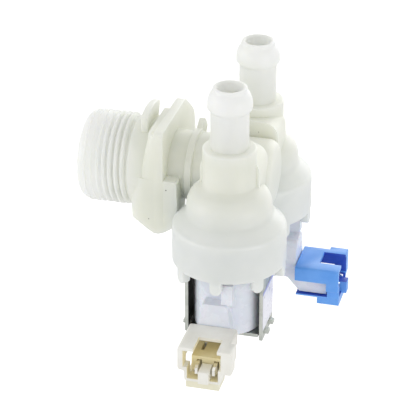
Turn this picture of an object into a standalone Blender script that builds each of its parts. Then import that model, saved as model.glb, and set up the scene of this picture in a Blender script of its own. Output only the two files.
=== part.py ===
"""Two-way water inlet valve of a washing machine, in millimetres turned to metres.

The hose thread points along -X, with its axis on the X axis and the panel side of the flange at
x = 0. Two solenoid valves stand side by side across Y, their barbed outlets straight up (+Z) and
their coils below. The second coil is turned a quarter round, so its connector faces +X.
"""
import math

import bmesh
import bpy
from mathutils import Matrix, Vector

MM = 0.001

# Fits between pieces
TOUCH = 0.3
RUN = 0.05
BITE = 0.6
THREAD_BITE = 0.12
SHY = 0.06

# How finely round shapes are cut
BODY_SIDES = 28
PIECE_SIDES = 28
INNER_SIDES = 20
SMALL_SIDES = 16
WIRE_SIDES = 5
WIRE_STEPS = 8
FLAT_ANGLE = 0.4

# Hose inlet, turned about the X axis: a G3/4 thread
INLET_LENGTH = 23.3
THREAD_RADIUS = 13.22
THREAD_DEPTH = 1.16
THREAD_PITCH = 1.814
THREAD_CREST = 0.44
THREAD_RUNOUT = 8.9
THREAD_STEPS = 24
NOSE_RADIUS = 10.9
NOSE_LENGTH = 2.8
NECK_RADIUS = 13.0
FILTER_BORE = 9.2
FILTER_DEPTH = 15.3

# Manifold tube behind the flange
MANIFOLD_RADIUS = 9.8
MANIFOLD_END = 31.8
MANIFOLD_ROUND = 2.8
MANIFOLD_BORE = 6.0
MANIFOLD_WALL = 2.6
RIB_START = 7.7
RIB_WIDTH = 2.0
RIB_HEIGHT = 0.8
RIB_PEAK = 13.7

# Flange and bayonet lugs
FLANGE_THICK = 2.7
FLANGE_NEAR = 14.0
FLANGE_TOP = 15.4
FLANGE_FOOT = 14.2
FLANGE_EAR = 22.0
FLANGE_CORNER = 1.6
FLANGE_TAPER = 1.5
LEDGE_THICK = 2.0
LEDGE_SINK = 0.8
RAMP_TOP_RISE = 1.5
RAMP_FOOT_RISE = 4.6
RAMP_CORNER = 2.0
LOWER_LUG_TOP = 0.8
LOWER_LUG_RISE = 7.6
LOWER_LUG_FOOT = -12.8
LOWER_LUG_HEEL = -15.9
LOWER_LUG_CORNER = 3.8
HEEL_RISE = 1.2
HEEL_CORNER = 1.0
UPPER_LUG_RADIUS = 17.4
UPPER_LUG_FRONT = 5.7
UPPER_LUG_THICK = 2.0
UPPER_LUG_SPAN = (66.0, 112.0)

# Where the two valves stand
VALVE_X = 22.5
VALVE_PITCH = 32.5

# Outside of one valve chamber, radii and heights
NOZZLE_TOP = 33.3
NOZZLE_RADIUS = 5.32
NOZZLE_BORE = 3.4
NOZZLE_LIP = 5.0
BARB_RADIUS = 6.2
BARB_TOP = 28.4
BARB_LAND = 1.1
BARB_BACK = 0.8
COLLAR_RADIUS = 7.5
COLLAR_TOP = 15.3
COLLAR_FOOT = 4.5
DOME_RADIUS = 12.0
DOME_WIDEST = -2.6
DOME_RISE = 6.0
DOME_FOOT = -4.6
CAP_RADIUS = 16.0
CAP_EDGE = -8.4
CAP_FOOT = -19.0

# Inside of one valve chamber
CHAMBER_RADIUS = 9.4
CHAMBER_TOP = 0.6
SEAT_WALL = 1.5
SEAT_LEVEL = -8.6
SOCKET_RADIUS = 13.6
PORT_RADIUS = 3.2
PORT_LEVEL = -2.0

# Retaining teeth under the cap
TOOTH_COUNT = 8
TOOTH_WIDTH = 3.3
TOOTH_DEPTH = 2.5
TOOTH_FOOT = -22.9

# Port block that carries each collar on the manifold
PORT_BLOCK_HALF = 8.4
PORT_BLOCK_TOP = 12.6
PORT_BLOCK_ROUND = 4.5
PORT_BLOCK_START = 6.5

# Strainer and flow washer in the inlet
FILTER_LENGTH = 7.0
FILTER_RIM = 1.4
FILTER_WALL = 0.9
FILTER_TAPER = 1.5
FILTER_SLOTS = 8
FILTER_SLOT_WIDTH = 2.2
WASHER_THICK = 3.0
WASHER_HOLE = 2.6

# Diaphragm and its hub
MEMBRANE_THICK = 1.2
BEAD_WIDTH = 2.3
BEAD_HEIGHT = 3.1
HUB_RADIUS = 2.3
HUB_DISC_RADIUS = 6.4
HUB_DISC_THICK = 1.5
HUB_NIB_RADIUS = 1.5
HUB_NIB_LENGTH = 0.8
HUB_STEM = 1.6
PILOT_RADIUS = 0.6

# Plunger guide: a cover plate with a closed tube below it
GUIDE_PLATE = 3.0
GUIDE_RECESS = 2.3
GUIDE_SKIRT = 3.0
GUIDE_TUBE_WALL = 0.9
GUIDE_TUBE_FOOT = -37.8

# Plunger, its rubber seat and its return spring
PLUNGER_TRAVEL = 2.4
PLUNGER_SEAT_RADIUS = 2.0
PLUNGER_SEAT_DEPTH = 2.4
PLUNGER_CHAMFER = 0.6
SPRING_INSET = 1.7
SPRING_WIRE = 0.35
SPRING_TURNS = 5

# Steel yoke: an upside-down U and a staked base plate
YOKE_GAP = 0.45
YOKE_THICK = 1.0
YOKE_EDGE = 0.4
YOKE_TOP = -19.6
YOKE_FOOT = -41.2
YOKE_BEND = 1.0
PLATE_LIFT = 1.0
TAB_WIDTH = 2.2
TAB_SPREAD = 2.7
TAB_POKE = 1.2

# Coil: moulded case, bobbin and winding
COIL_RADIUS = 9.8
COIL_WALL = 0.9
COIL_BUILD = 4.2
COIL_CAP_THICK = 0.9
BOBBIN_FLANGE = 0.9
BOBBIN_CORE = 0.7
WINDING_SINK = 0.3

# Block, neck and terminal base on the side of the coil case; u runs out to the connector, v across it
BLOCK_REACH = 13.0
BLOCK_V = (1.0, 4.1)
BLOCK_FOOT = -27.0
BLOCK_ROOT_FOOT = -29.5
NECK_V = (-5.9, 4.1)
NECK_TOP = -27.4
NECK_FOOT = -36.2
NECK_ROUND = 1.2
ARM_V = (-4.9, 3.3)
ARM_TOP = -34.2
ARM_DROP = 1.6
BASE_TOP = -38.6
BASE_FOOT = -43.4
BASE_START = 14.4
BASE_REACH = 22.5

# Connector shroud: a wide upper box over a narrower channel that holds the terminal base
SHROUD_BACK = 13.6
SHROUD_OVERHANG = 4.0
SHROUD_V = (-7.9, 5.9)
SHROUD_TOP = -34.0
SHROUD_STEP = -41.2
SHROUD_FOOT = -44.5
SHROUD_WALL = 1.0
SHROUD_SIDE = 1.5
SHROUD_BACK_WALL = 1.4
SHROUD_ROUND = 0.8
CHANNEL_WALL = 0.8
SIDE_WINDOW_TOP = -38.3
SIDE_WINDOW_PAST = 0.5
COLLAR_LENGTH = 5.2
COLLAR_OUT = 1.6
KEY_V = (-3.4, 3.3)
KEY_DEPTH = 6.5
LIP_LENGTH = 6.6
LIP_DROP = 2.0
LIP_INSET = 0.5
TONGUE_V = (-1.7, 1.2)
TONGUE_TOP = -40.4
TONGUE_PAST = 0.5
TONGUE_OUT = 1.4

# Terminal blades, upright in the base
BLADE_V = (-2.7, 2.2)
BLADE_WIDTH = 2.8
BLADE_THICK = 0.8
BLADE_MIDDLE = -41.3
BLADE_ROOTED = 3.1
BLADE_OUT = 3.5
BLADE_POINT = 1.0

# Heights and radii that follow from the sizes above
THREAD_ROOT = THREAD_RADIUS - THREAD_DEPTH
YOKE_SPAN = COIL_RADIUS + YOKE_GAP + YOKE_THICK
SHROUD_FRONT = BASE_REACH + SHROUD_OVERHANG
SIDE_WINDOW_END = BASE_REACH + SIDE_WINDOW_PAST
TONGUE_START = BASE_REACH + TONGUE_PAST
BLADE_START = BASE_REACH - BLADE_ROOTED
BLADE_END = BASE_REACH + BLADE_OUT
MEMBRANE_TOP = SEAT_LEVEL - TOUCH
MEMBRANE_FOOT = MEMBRANE_TOP - MEMBRANE_THICK
BEAD_FOOT = MEMBRANE_TOP - BEAD_HEIGHT
BEAD_RADIUS = SOCKET_RADIUS - TOUCH
DISC_TOP = MEMBRANE_FOOT - TOUCH
DISC_FOOT = DISC_TOP - HUB_DISC_THICK
NIB_FOOT = DISC_FOOT - HUB_NIB_LENGTH
GUIDE_TOP = BEAD_FOOT - TOUCH
GUIDE_TUBE_RADIUS = COIL_RADIUS - COIL_BUILD
GUIDE_BORE = GUIDE_TUBE_RADIUS - GUIDE_TUBE_WALL
SPRING_RADIUS = GUIDE_BORE - SPRING_INSET
GUIDE_CLEAR = GUIDE_TUBE_RADIUS + TOUCH
YOKE_HALF_WIDTH = GUIDE_CLEAR + YOKE_EDGE
SEAT_TOP = NIB_FOOT - TOUCH
PLUNGER_TOP = SEAT_TOP - TOUCH
SPRING_FLOOR = GUIDE_TUBE_FOOT + GUIDE_TUBE_WALL
SPRING_SOLID = 2 * SPRING_TURNS * SPRING_WIRE
PLUNGER_FOOT = SPRING_FLOOR + SPRING_SOLID + PLUNGER_TRAVEL + 2 * TOUCH
COIL_TOP = YOKE_TOP - YOKE_THICK - TOUCH
PLATE_FOOT = YOKE_FOOT + PLATE_LIFT
COIL_FOOT = PLATE_FOOT + YOKE_THICK + TOUCH
BOBBIN_TOP = COIL_TOP - COIL_CAP_THICK - TOUCH
BOBBIN_FOOT = COIL_FOOT + COIL_CAP_THICK + TOUCH
BOBBIN_RADIUS = COIL_RADIUS - COIL_WALL - TOUCH
BOBBIN_BORE = GUIDE_CLEAR
CHANNEL_V = (ARM_V[0] - TOUCH - CHANNEL_WALL, ARM_V[1] + TOUCH + CHANNEL_WALL)
CHANNEL_FLOOR = BASE_FOOT - TOUCH


def clear_scene():
    """Remove whatever the file holds."""
    for item in list(bpy.data.objects):
        bpy.data.objects.remove(item, do_unlink=True)


def material(name, colour, roughness, metallic=0.0):
    """Return a plain material with a linear colour."""
    made = bpy.data.materials.new(name)
    made.use_nodes = True
    shader = made.node_tree.nodes["Principled BSDF"]
    shader.inputs["Base Color"].default_value = (*colour, 1.0)
    shader.inputs["Roughness"].default_value = roughness
    shader.inputs["Metallic"].default_value = metallic
    return made


def arc(centre, radius, start, end, steps):
    """Return points on an arc, or on an ellipse if radius is a pair, angles in degrees."""
    across, along = radius if isinstance(radius, tuple) else (radius, radius)
    points = []
    for step in range(steps + 1):
        angle = math.radians(start + (end - start) * step / steps)
        points.append((centre[0] + across * math.cos(angle), centre[1] + along * math.sin(angle)))
    return points


def polar(radius, degrees):
    """Return the point at a radius and an angle."""
    return radius * math.cos(math.radians(degrees)), radius * math.sin(math.radians(degrees))


def rounded(outline, radius, steps=3):
    """Return a closed outline with every corner rounded to one radius."""
    points = []
    count = len(outline)
    for index, corner in enumerate(outline):
        here = Vector(corner)
        before = (Vector(outline[index - 1]) - here).normalized()
        after = (Vector(outline[(index + 1) % count]) - here).normalized()
        half = before.angle(after) / 2
        if half > math.radians(80):
            points.append(corner)
            continue
        back = radius / math.tan(half)
        start = here + before * back
        end = here + after * back
        for step in range(steps + 1):
            share = step / steps
            curve = start.lerp(here, share).lerp(here.lerp(end, share), share)
            points.append((curve.x, curve.y))
    return points


def add_object(name, mesh_data):
    """Link a bmesh given in millimetres to the scene as an object in metres."""
    bmesh.ops.recalc_face_normals(mesh_data, faces=mesh_data.faces[:])
    mesh_data.transform(Matrix.Scale(MM, 4))
    mesh = bpy.data.meshes.new(name)
    mesh_data.to_mesh(mesh)
    mesh_data.free()
    item = bpy.data.objects.new(name, mesh)
    bpy.context.scene.collection.objects.link(item)
    return item


def skin(name, rings, twisted=False):
    """Join rings of points, all of one length, into a skin closed at both ends.

    The sides of a twisted skin aren't flat, so they are split into triangles.
    """
    shape = bmesh.new()
    rows = [[shape.verts.new(point) for point in ring] for ring in rings]
    count = len(rows[0])
    for first, second in zip(rows, rows[1:]):
        for index in range(count):
            follow = (index + 1) % count
            shape.faces.new((first[index], first[follow], second[follow], second[index]))
    shape.faces.new(rows[0][::-1])
    shape.faces.new(rows[-1])
    if twisted:
        bmesh.ops.triangulate(shape, faces=shape.faces[:])
    return add_object(name, shape)


def turn(name, profile, sides, along="Z", centre=(0.0, 0.0)):
    """Turn a closed profile of (radius, height) points about an axis."""
    shape = bmesh.new()
    rings = []
    for radius, height in profile:
        if radius < 1e-6:
            rings.append([shape.verts.new((0.0, 0.0, height))])
            continue
        ring = [polar(radius, 360.0 * side / sides) for side in range(sides)]
        rings.append([shape.verts.new((x, y, height)) for x, y in ring])
    for index, ring in enumerate(rings):
        follow = rings[(index + 1) % len(rings)]
        for side in range(sides):
            corner = (side + 1) % sides
            loop = [ring[side % len(ring)], ring[corner % len(ring)]]
            loop += [follow[corner % len(follow)], follow[side % len(follow)]]
            loop = list(dict.fromkeys(loop))
            if len(loop) > 2:
                shape.faces.new(loop)
    if along == "X":
        shape.transform(Matrix.Rotation(math.radians(90.0), 4, "Y"))
    shape.transform(Matrix.Translation((centre[0], centre[1], 0.0)))
    return add_object(name, shape)


def prism(name, outline, start, end, along="Z"):
    """Push a closed outline out along an axis.

    The outline's points are (x, y) along Z, (y, z) along X and (x, z) along Y.
    """
    def place(point, level):
        if along == "X":
            return (level, point[0], point[1])
        if along == "Y":
            return (point[0], level, point[1])
        return (point[0], point[1], level)

    rings = [[place(point, level) for point in outline] for level in (start, end)]
    return skin(name, rings)


def block(name, low, high):
    """Return a plain block between two corners."""
    outline = [(low[0], low[1]), (high[0], low[1]), (high[0], high[1]), (low[0], high[1])]
    return prism(name, outline, low[2], high[2])


def split_faces(mesh):
    """Split every face into triangles, which stay flat for the next operation."""
    shape = bmesh.new()
    shape.from_mesh(mesh)
    bmesh.ops.triangulate(shape, faces=shape.faces[:])
    shape.to_mesh(mesh)
    shape.free()


def merge_flats(item, limit):
    """Merge the flat triangles left along -X of a limit, and split what remains again."""
    shape = bmesh.new()
    shape.from_mesh(item.data)
    edges = [edge for edge in shape.edges if max(vert.co.x for vert in edge.verts) < limit * MM]
    verts = list({vert for edge in edges for vert in edge.verts})
    bmesh.ops.dissolve_limit(shape, angle_limit=math.radians(FLAT_ANGLE), verts=verts, edges=edges)
    bmesh.ops.triangulate(shape, faces=shape.faces[:])
    shape.to_mesh(item.data)
    shape.free()
    return item


def combine(item, tools, operation):
    """Join tools to an object, or cut them away, and remove them."""
    for tool in tools:
        step = item.modifiers.new("step", "BOOLEAN")
        step.operation = operation
        step.solver = "EXACT"
        step.object = tool
        bpy.context.view_layer.update()
        graph = bpy.context.evaluated_depsgraph_get()
        mesh = bpy.data.meshes.new_from_object(item.evaluated_get(graph))
        split_faces(mesh)
        item.modifiers.remove(step)
        item.data = mesh
        bpy.data.objects.remove(tool, do_unlink=True)
    return item


def join(item, *tools):
    """Unite tools with an object."""
    return combine(item, tools, "UNION")


def cut(item, *tools):
    """Cut tools out of an object."""
    return combine(item, tools, "DIFFERENCE")


def finish(item, look, valve=None, crease=32.0):
    """Give an object its material and shading, and stand it at its valve."""
    item.data.name = item.name
    item.data.materials.clear()
    item.data.materials.append(look)
    item.data.shade_smooth()
    item.data.set_sharp_from_angle(angle=math.radians(crease))
    if valve:
        item.parent = valve
    return item


def make_valve_stand(name, side, turned):
    """Return an empty on a valve's axis, side -1 in front and +1 behind."""
    stand = bpy.data.objects.new(name, None)
    bpy.context.scene.collection.objects.link(stand)
    stand.location = Vector((VALVE_X, side * VALVE_PITCH / 2, 0.0)) * MM
    stand.rotation_euler.z = math.radians(90.0) if turned else 0.0
    return stand


def inlet_profile():
    """Return the outside of the inlet, the manifold and its rib as (radius, x) points."""
    nose = arc((NOSE_RADIUS, NOSE_LENGTH - INLET_LENGTH), (THREAD_ROOT - NOSE_RADIUS, NOSE_LENGTH), -90, 0, 3)
    end = arc((MANIFOLD_RADIUS - MANIFOLD_ROUND, MANIFOLD_END - MANIFOLD_ROUND), MANIFOLD_ROUND, 0, 90, 4)
    rib = MANIFOLD_RADIUS + RIB_HEIGHT
    middle = [
        (THREAD_ROOT, -THREAD_RUNOUT),
        (NECK_RADIUS, -THREAD_RUNOUT + NECK_RADIUS - THREAD_ROOT),
        (NECK_RADIUS, FLANGE_THICK / 2),
        (MANIFOLD_RADIUS, FLANGE_THICK / 2),
        (MANIFOLD_RADIUS, RIB_START),
        (rib, RIB_START),
        (rib, RIB_START + RIB_WIDTH),
        (MANIFOLD_RADIUS, RIB_START + RIB_WIDTH),
    ]
    return [(0.0, -INLET_LENGTH)] + nose + middle + end + [(0.0, MANIFOLD_END)]


def thread_ridge():
    """Return the thread's ridge as a helix whose crest follows the rounded nose."""
    start = THREAD_PITCH * 0.7 - INLET_LENGTH
    end = -THREAD_RUNOUT - THREAD_PITCH * 0.1
    flank = THREAD_CREST / 2 + (THREAD_DEPTH + THREAD_BITE) * math.tan(math.radians(27.5))
    steps = round((end - start) / THREAD_PITCH * THREAD_STEPS)
    rings = []
    for step in range(steps + 1):
        x = start + THREAD_PITCH * step / THREAD_STEPS
        nose = min(1.0, (x + INLET_LENGTH) / NOSE_LENGTH)
        swell = math.sqrt(1.0 - (1.0 - nose) ** 2)
        fade = min(1.0, step / (THREAD_STEPS * 0.4), (steps - step) / (THREAD_STEPS * 0.25))
        crest = NOSE_RADIUS + (THREAD_RADIUS - NOSE_RADIUS) * swell
        root = min(THREAD_ROOT, NOSE_RADIUS + (THREAD_ROOT - NOSE_RADIUS) * swell)
        crest = root + (crest - root) * fade - 0.1 * (1.0 - fade)
        section = [
            (root - THREAD_BITE, -flank),
            (crest, -THREAD_CREST / 2),
            (crest, THREAD_CREST / 2),
            (root - THREAD_BITE, flank),
        ]
        angle = 360.0 * step / THREAD_STEPS
        rings.append([(x + shift, *polar(radius, angle)) for radius, shift in section])
    return skin("thread", rings, twisted=True)


def flange_pieces():
    """Return the flange plate, its raised ledge, the side ramp and the two bayonet lugs."""
    shoulder = FLANGE_EAR - FLANGE_TAPER
    plate = rounded(
        [
            (-FLANGE_NEAR, -FLANGE_FOOT),
            (FLANGE_EAR / 2, -FLANGE_FOOT),
            (shoulder, -FLANGE_TOP / 2),
            (FLANGE_EAR, 0.0),
            (shoulder, FLANGE_TOP / 2),
            (FLANGE_EAR / 2, FLANGE_TOP),
            (-FLANGE_NEAR, FLANGE_TOP),
        ],
        FLANGE_CORNER,
    )
    inner = FLANGE_NEAR - RAMP_CORNER
    rise = FLANGE_TOP - LEDGE_SINK
    ledge = rounded([(-inner, 0.0), (inner / 2, 0.0), (inner / 2, rise), (-inner, rise)], FLANGE_CORNER)
    start, end = UPPER_LUG_SPAN
    outer = arc((0.0, 0.0), UPPER_LUG_RADIUS, start, end, 5)
    root = arc((0.0, 0.0), NECK_RADIUS - BITE, end + 7.0, start, 4)
    return [
        prism("flange", plate, 0.0, FLANGE_THICK, "X"),
        prism("ledge", ledge, -LEDGE_THICK, FLANGE_THICK / 2, "X"),
        skin("ramp", [ramp_section(*station) for station in ramp_stations()], twisted=True),
        prism("upper lug", outer + root, -UPPER_LUG_FRONT, UPPER_LUG_THICK - UPPER_LUG_FRONT, "X"),
    ]


def ramp_stations():
    """Return the side ramp's heights, with its rise ahead of the flange and its corner there."""
    top = FLANGE_TOP - 1.0
    stations = []
    for share in (0.0, 0.5, 1.0):
        level = top + (LOWER_LUG_TOP + 0.3 - top) * share
        rise = RAMP_TOP_RISE + (RAMP_FOOT_RISE - RAMP_TOP_RISE) * share
        stations.append((level, rise, RAMP_CORNER))
    stations.append((LOWER_LUG_TOP, LOWER_LUG_RISE, LOWER_LUG_CORNER))
    stations.append((LOWER_LUG_FOOT / 2, LOWER_LUG_RISE + 0.2, LOWER_LUG_CORNER))
    stations.append((LOWER_LUG_FOOT, LOWER_LUG_RISE, LOWER_LUG_CORNER))
    stations.append((LOWER_LUG_HEEL, HEEL_RISE, HEEL_CORNER))
    return stations


def ramp_section(level, rise, corner):
    """Return the side ramp's outline at one height, its outer corner a quarter of an ellipse."""
    near = SHY - FLANGE_NEAR
    inside = -NECK_RADIUS / 3
    section = [(FLANGE_THICK / 2, near)]
    section += arc((SHY, near + corner), (rise + SHY, corner), -90, -180, 5)
    section += [(-rise, inside), (FLANGE_THICK / 2, inside)]
    return [(x, y, level) for x, y in section]


def chamber_profile():
    """Return the outside of one valve chamber as (radius, z) points, top to bottom."""
    tube_start = BARB_TOP - BARB_LAND - BARB_BACK
    shoulder = (DOME_RADIUS - 4.4, DOME_WIDEST)
    profile = [(0.0, NOZZLE_TOP), (NOZZLE_LIP - 0.6, NOZZLE_TOP)]
    profile += arc((NOZZLE_LIP - 0.6, NOZZLE_TOP - 0.6), 0.6, 60, 0, 2)
    profile += [
        (BARB_RADIUS, BARB_TOP),
        (BARB_RADIUS, BARB_TOP - BARB_LAND),
        (NOZZLE_RADIUS, tube_start),
        (NOZZLE_RADIUS, COLLAR_TOP),
        (COLLAR_RADIUS - 0.5, COLLAR_TOP),
        (COLLAR_RADIUS, COLLAR_TOP - 0.5),
        (COLLAR_RADIUS, COLLAR_FOOT),
    ]
    profile += arc(shoulder, (4.4, DOME_RISE), 75, 0, 5)
    profile += [
        (DOME_RADIUS, DOME_FOOT + 0.8),
        (DOME_RADIUS + 0.8, DOME_FOOT),
        (CAP_RADIUS - 1.0, DOME_FOOT - 1.6),
        (CAP_RADIUS - 0.3, DOME_FOOT - 2.5),
        (CAP_RADIUS, CAP_EDGE),
        (CAP_RADIUS, CAP_FOOT),
        (0.0, CAP_FOOT),
    ]
    return profile


def chamber_hollow():
    """Return the outlet's bore and the hollow round and below its seat as (radius, z) points."""
    seat = NOZZLE_BORE + SEAT_WALL
    below = CAP_FOOT - 1.0
    return [
        (0.0, below),
        (SOCKET_RADIUS, below),
        (SOCKET_RADIUS, SEAT_LEVEL),
        (CHAMBER_RADIUS, SEAT_LEVEL),
        (CHAMBER_RADIUS, CHAMBER_TOP - 2.0),
        (CHAMBER_RADIUS - 1.5, CHAMBER_TOP),
        (seat, CHAMBER_TOP),
        (seat, SEAT_LEVEL),
        (NOZZLE_BORE, SEAT_LEVEL),
        (NOZZLE_BORE, NOZZLE_TOP + 1.0),
        (0.0, NOZZLE_TOP + 1.0),
    ]


def retaining_tooth(side, angle):
    """Return one rounded tooth that hangs from the cap's wall."""
    half = TOOTH_WIDTH / 2
    outline = [(-half, CAP_FOOT + 2.0), (half, CAP_FOOT + 2.0)]
    outline += arc((0.0, TOOTH_FOOT + half), half, 0, -180, 6)
    outer = CAP_RADIUS - 0.1
    tooth = prism("tooth", outline, outer - TOOTH_DEPTH, outer, "Y")
    place = Matrix.Translation(Vector((VALVE_X, side * VALVE_PITCH / 2, 0.0)) * MM)
    tooth.data.transform(place @ Matrix.Rotation(angle, 4, "Z"))
    return tooth


def make_body():
    """Return the one-piece moulding: inlet, flange, manifold, chambers, nozzles and caps."""
    body = turn("valve_body", inlet_profile(), BODY_SIDES, "X")
    join(body, *flange_pieces())
    peak = [polar(MANIFOLD_RADIUS - BITE, 40.0), polar(RIB_PEAK, 60.0), polar(MANIFOLD_RADIUS - BITE, 80.0)]
    join(body, prism("rib tooth", rounded(peak, 0.5), RIB_START, RIB_START + RIB_WIDTH, "X"))
    for side in (-1, 1):
        centre = (VALVE_X, side * VALVE_PITCH / 2)
        half = PORT_BLOCK_HALF
        arch = [(VALVE_X - half, DOME_WIDEST), (VALVE_X + half, DOME_WIDEST)]
        corner = PORT_BLOCK_TOP - PORT_BLOCK_ROUND
        arch += arc((VALVE_X + half - PORT_BLOCK_ROUND, corner), PORT_BLOCK_ROUND, 0, 90, 4)
        arch += arc((VALVE_X - half + PORT_BLOCK_ROUND, corner), PORT_BLOCK_ROUND, 90, 180, 4)
        reach = (side * PORT_BLOCK_START, side * VALVE_PITCH / 2)
        join(body, prism("port block", arch, min(reach), max(reach), "Y"))
        join(body, turn("chamber", chamber_profile(), BODY_SIDES, centre=centre))
        for index in range(TOOTH_COUNT):
            join(body, retaining_tooth(side, math.tau * index / TOOTH_COUNT))
    hollow_inlet(body)
    for side in (-1, 1):
        hollow_chamber(body, side)
    join(body, thread_ridge())
    return merge_flats(body, -THREAD_RUNOUT)


def hollow_inlet(body):
    """Cut the stepped bore from the thread's mouth to the manifold's closed end."""
    step = FILTER_DEPTH - INLET_LENGTH
    bore = [
        (0.0, -INLET_LENGTH - 1.0),
        (FILTER_BORE, -INLET_LENGTH - 1.0),
        (FILTER_BORE, step),
        (MANIFOLD_BORE, step),
        (MANIFOLD_BORE, MANIFOLD_END - MANIFOLD_WALL),
        (0.0, MANIFOLD_END - MANIFOLD_WALL),
    ]
    cut(body, turn("inlet bore", bore, BODY_SIDES, "X"))


def hollow_chamber(body, side):
    """Cut one valve's chamber, outlet bore and side port."""
    centre = (VALVE_X, side * VALVE_PITCH / 2)
    cut(body, turn("chamber hollow", chamber_hollow(), BODY_SIDES, centre=centre))
    ring = [polar(PORT_RADIUS, 360.0 * step / SMALL_SIDES) for step in range(SMALL_SIDES)]
    ring = [(VALVE_X + x, PORT_LEVEL + z) for x, z in ring]
    reach = (0.0, side * (VALVE_PITCH / 2 - NOZZLE_BORE - SEAT_WALL - 1.0))
    cut(body, prism("side port", ring, min(reach), max(reach), "Y"))


def make_filter():
    """Return the strainer: a thimble whose rim sits in the inlet bore."""
    rim = FILTER_BORE - TOUCH
    wide = rim - FILTER_TAPER / 2
    narrow = wide - FILTER_TAPER
    deep = FILTER_DEPTH - INLET_LENGTH - WASHER_THICK - 2 * TOUCH
    mouth = deep - FILTER_LENGTH
    outline = [
        (rim, mouth),
        (rim, mouth + FILTER_RIM),
        (wide, mouth + FILTER_RIM),
        (narrow, deep),
        (0.0, deep),
        (0.0, deep - FILTER_WALL),
        (narrow - FILTER_WALL, deep - FILTER_WALL),
        (wide - FILTER_WALL, mouth),
    ]
    strainer = turn("inlet_filter", outline, INNER_SIDES, "X")
    half = FILTER_SLOT_WIDTH / 2
    for index in range(FILTER_SLOTS):
        low = (mouth + FILTER_RIM + FILTER_WALL, -half, narrow / 2)
        slot = block("slot", low, (deep - 2 * FILTER_WALL, half, rim + 1.0))
        slot.data.transform(Matrix.Rotation(math.tau * (index + 0.5) / FILTER_SLOTS, 4, "X"))
        cut(strainer, slot)
    return strainer


def make_flow_washer():
    """Return the rubber flow washer that lies against the step of the inlet bore."""
    face = FILTER_DEPTH - INLET_LENGTH - TOUCH
    radius = FILTER_BORE - TOUCH
    ring = [
        (WASHER_HOLE, face),
        (radius, face),
        (radius, face - WASHER_THICK),
        (WASHER_HOLE + 1.0, face - WASHER_THICK),
        (WASHER_HOLE, face - WASHER_THICK + 1.0),
    ]
    return turn("flow_washer", ring, INNER_SIDES, "X")


def make_diaphragm(name):
    """Return the rubber membrane with its clamped bead and centre hole."""
    hole = HUB_RADIUS + TOUCH
    inner = BEAD_RADIUS - BEAD_WIDTH
    profile = [
        (hole, MEMBRANE_TOP),
        (BEAD_RADIUS, MEMBRANE_TOP),
        (BEAD_RADIUS, BEAD_FOOT),
        (inner, BEAD_FOOT),
        (inner, MEMBRANE_FOOT - 0.5),
        (inner - 0.5, MEMBRANE_FOOT),
        (hole, MEMBRANE_FOOT),
    ]
    return turn(name, profile, INNER_SIDES)


def make_hub(name):
    """Return the diaphragm's stiff hub, drilled through with the pilot hole."""
    profile = [
        (PILOT_RADIUS, SEAT_LEVEL + HUB_STEM),
        (HUB_RADIUS, SEAT_LEVEL + HUB_STEM),
        (HUB_RADIUS, DISC_TOP),
        (HUB_DISC_RADIUS, DISC_TOP),
        (HUB_DISC_RADIUS, DISC_FOOT),
        (HUB_NIB_RADIUS + 0.6, DISC_FOOT),
        (HUB_NIB_RADIUS, NIB_FOOT),
        (PILOT_RADIUS, NIB_FOOT),
    ]
    return turn(name, profile, SMALL_SIDES)


def make_guide(name):
    """Return the cover plate that clamps the diaphragm, with the plunger's closed tube."""
    recess = HUB_DISC_RADIUS + TOUCH
    foot = GUIDE_TOP - GUIDE_PLATE
    skirt = BEAD_RADIUS - GUIDE_SKIRT
    profile = [
        (recess, GUIDE_TOP),
        (BEAD_RADIUS, GUIDE_TOP),
        (BEAD_RADIUS, YOKE_TOP + TOUCH),
        (skirt, YOKE_TOP + TOUCH),
        (skirt, foot),
        (GUIDE_TUBE_RADIUS, foot),
        (GUIDE_TUBE_RADIUS, GUIDE_TUBE_FOOT + 0.6),
        (GUIDE_TUBE_RADIUS - 0.6, GUIDE_TUBE_FOOT),
        (0.0, GUIDE_TUBE_FOOT),
        (0.0, SPRING_FLOOR),
        (GUIDE_BORE, SPRING_FLOOR),
        (GUIDE_BORE, GUIDE_TOP - GUIDE_RECESS),
        (recess, GUIDE_TOP - GUIDE_RECESS),
    ]
    return turn(name, profile, INNER_SIDES)


def make_plunger(name):
    """Return the steel plunger, with a pocket on top for its rubber seat."""
    radius = GUIDE_BORE - RUN
    pocket = PLUNGER_SEAT_RADIUS + TOUCH
    profile = [
        (0.0, PLUNGER_TOP - PLUNGER_SEAT_DEPTH - TOUCH),
        (pocket, PLUNGER_TOP - PLUNGER_SEAT_DEPTH - TOUCH),
        (pocket, PLUNGER_TOP),
        (radius - PLUNGER_CHAMFER, PLUNGER_TOP),
        (radius, PLUNGER_TOP - PLUNGER_CHAMFER),
        (radius, PLUNGER_FOOT + PLUNGER_CHAMFER),
        (radius - PLUNGER_CHAMFER, PLUNGER_FOOT),
        (0.0, PLUNGER_FOOT),
    ]
    return turn(name, profile, INNER_SIDES)


def make_plunger_seat(name):
    """Return the rubber plug that closes the pilot hole."""
    profile = [
        (0.0, PLUNGER_TOP - PLUNGER_SEAT_DEPTH),
        (PLUNGER_SEAT_RADIUS, PLUNGER_TOP - PLUNGER_SEAT_DEPTH),
        (PLUNGER_SEAT_RADIUS, SEAT_TOP),
        (0.0, SEAT_TOP),
    ]
    return turn(name, profile, SMALL_SIDES)


def make_spring(name):
    """Return the return spring, a helix of wire between the plunger and the tube's floor."""
    low = SPRING_FLOOR + TOUCH + SPRING_WIRE
    high = PLUNGER_FOOT - TOUCH - SPRING_WIRE
    steps = SPRING_TURNS * WIRE_STEPS
    rings = []
    for step in range(steps + 1):
        angle = 360.0 * step / WIRE_STEPS
        level = low + (high - low) * step / steps
        ring = []
        for across, up in [polar(SPRING_WIRE, 360.0 * side / WIRE_SIDES) for side in range(WIRE_SIDES)]:
            ring.append((*polar(SPRING_RADIUS + across, angle), level + up))
        rings.append(ring)
    return skin(name, rings)


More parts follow.
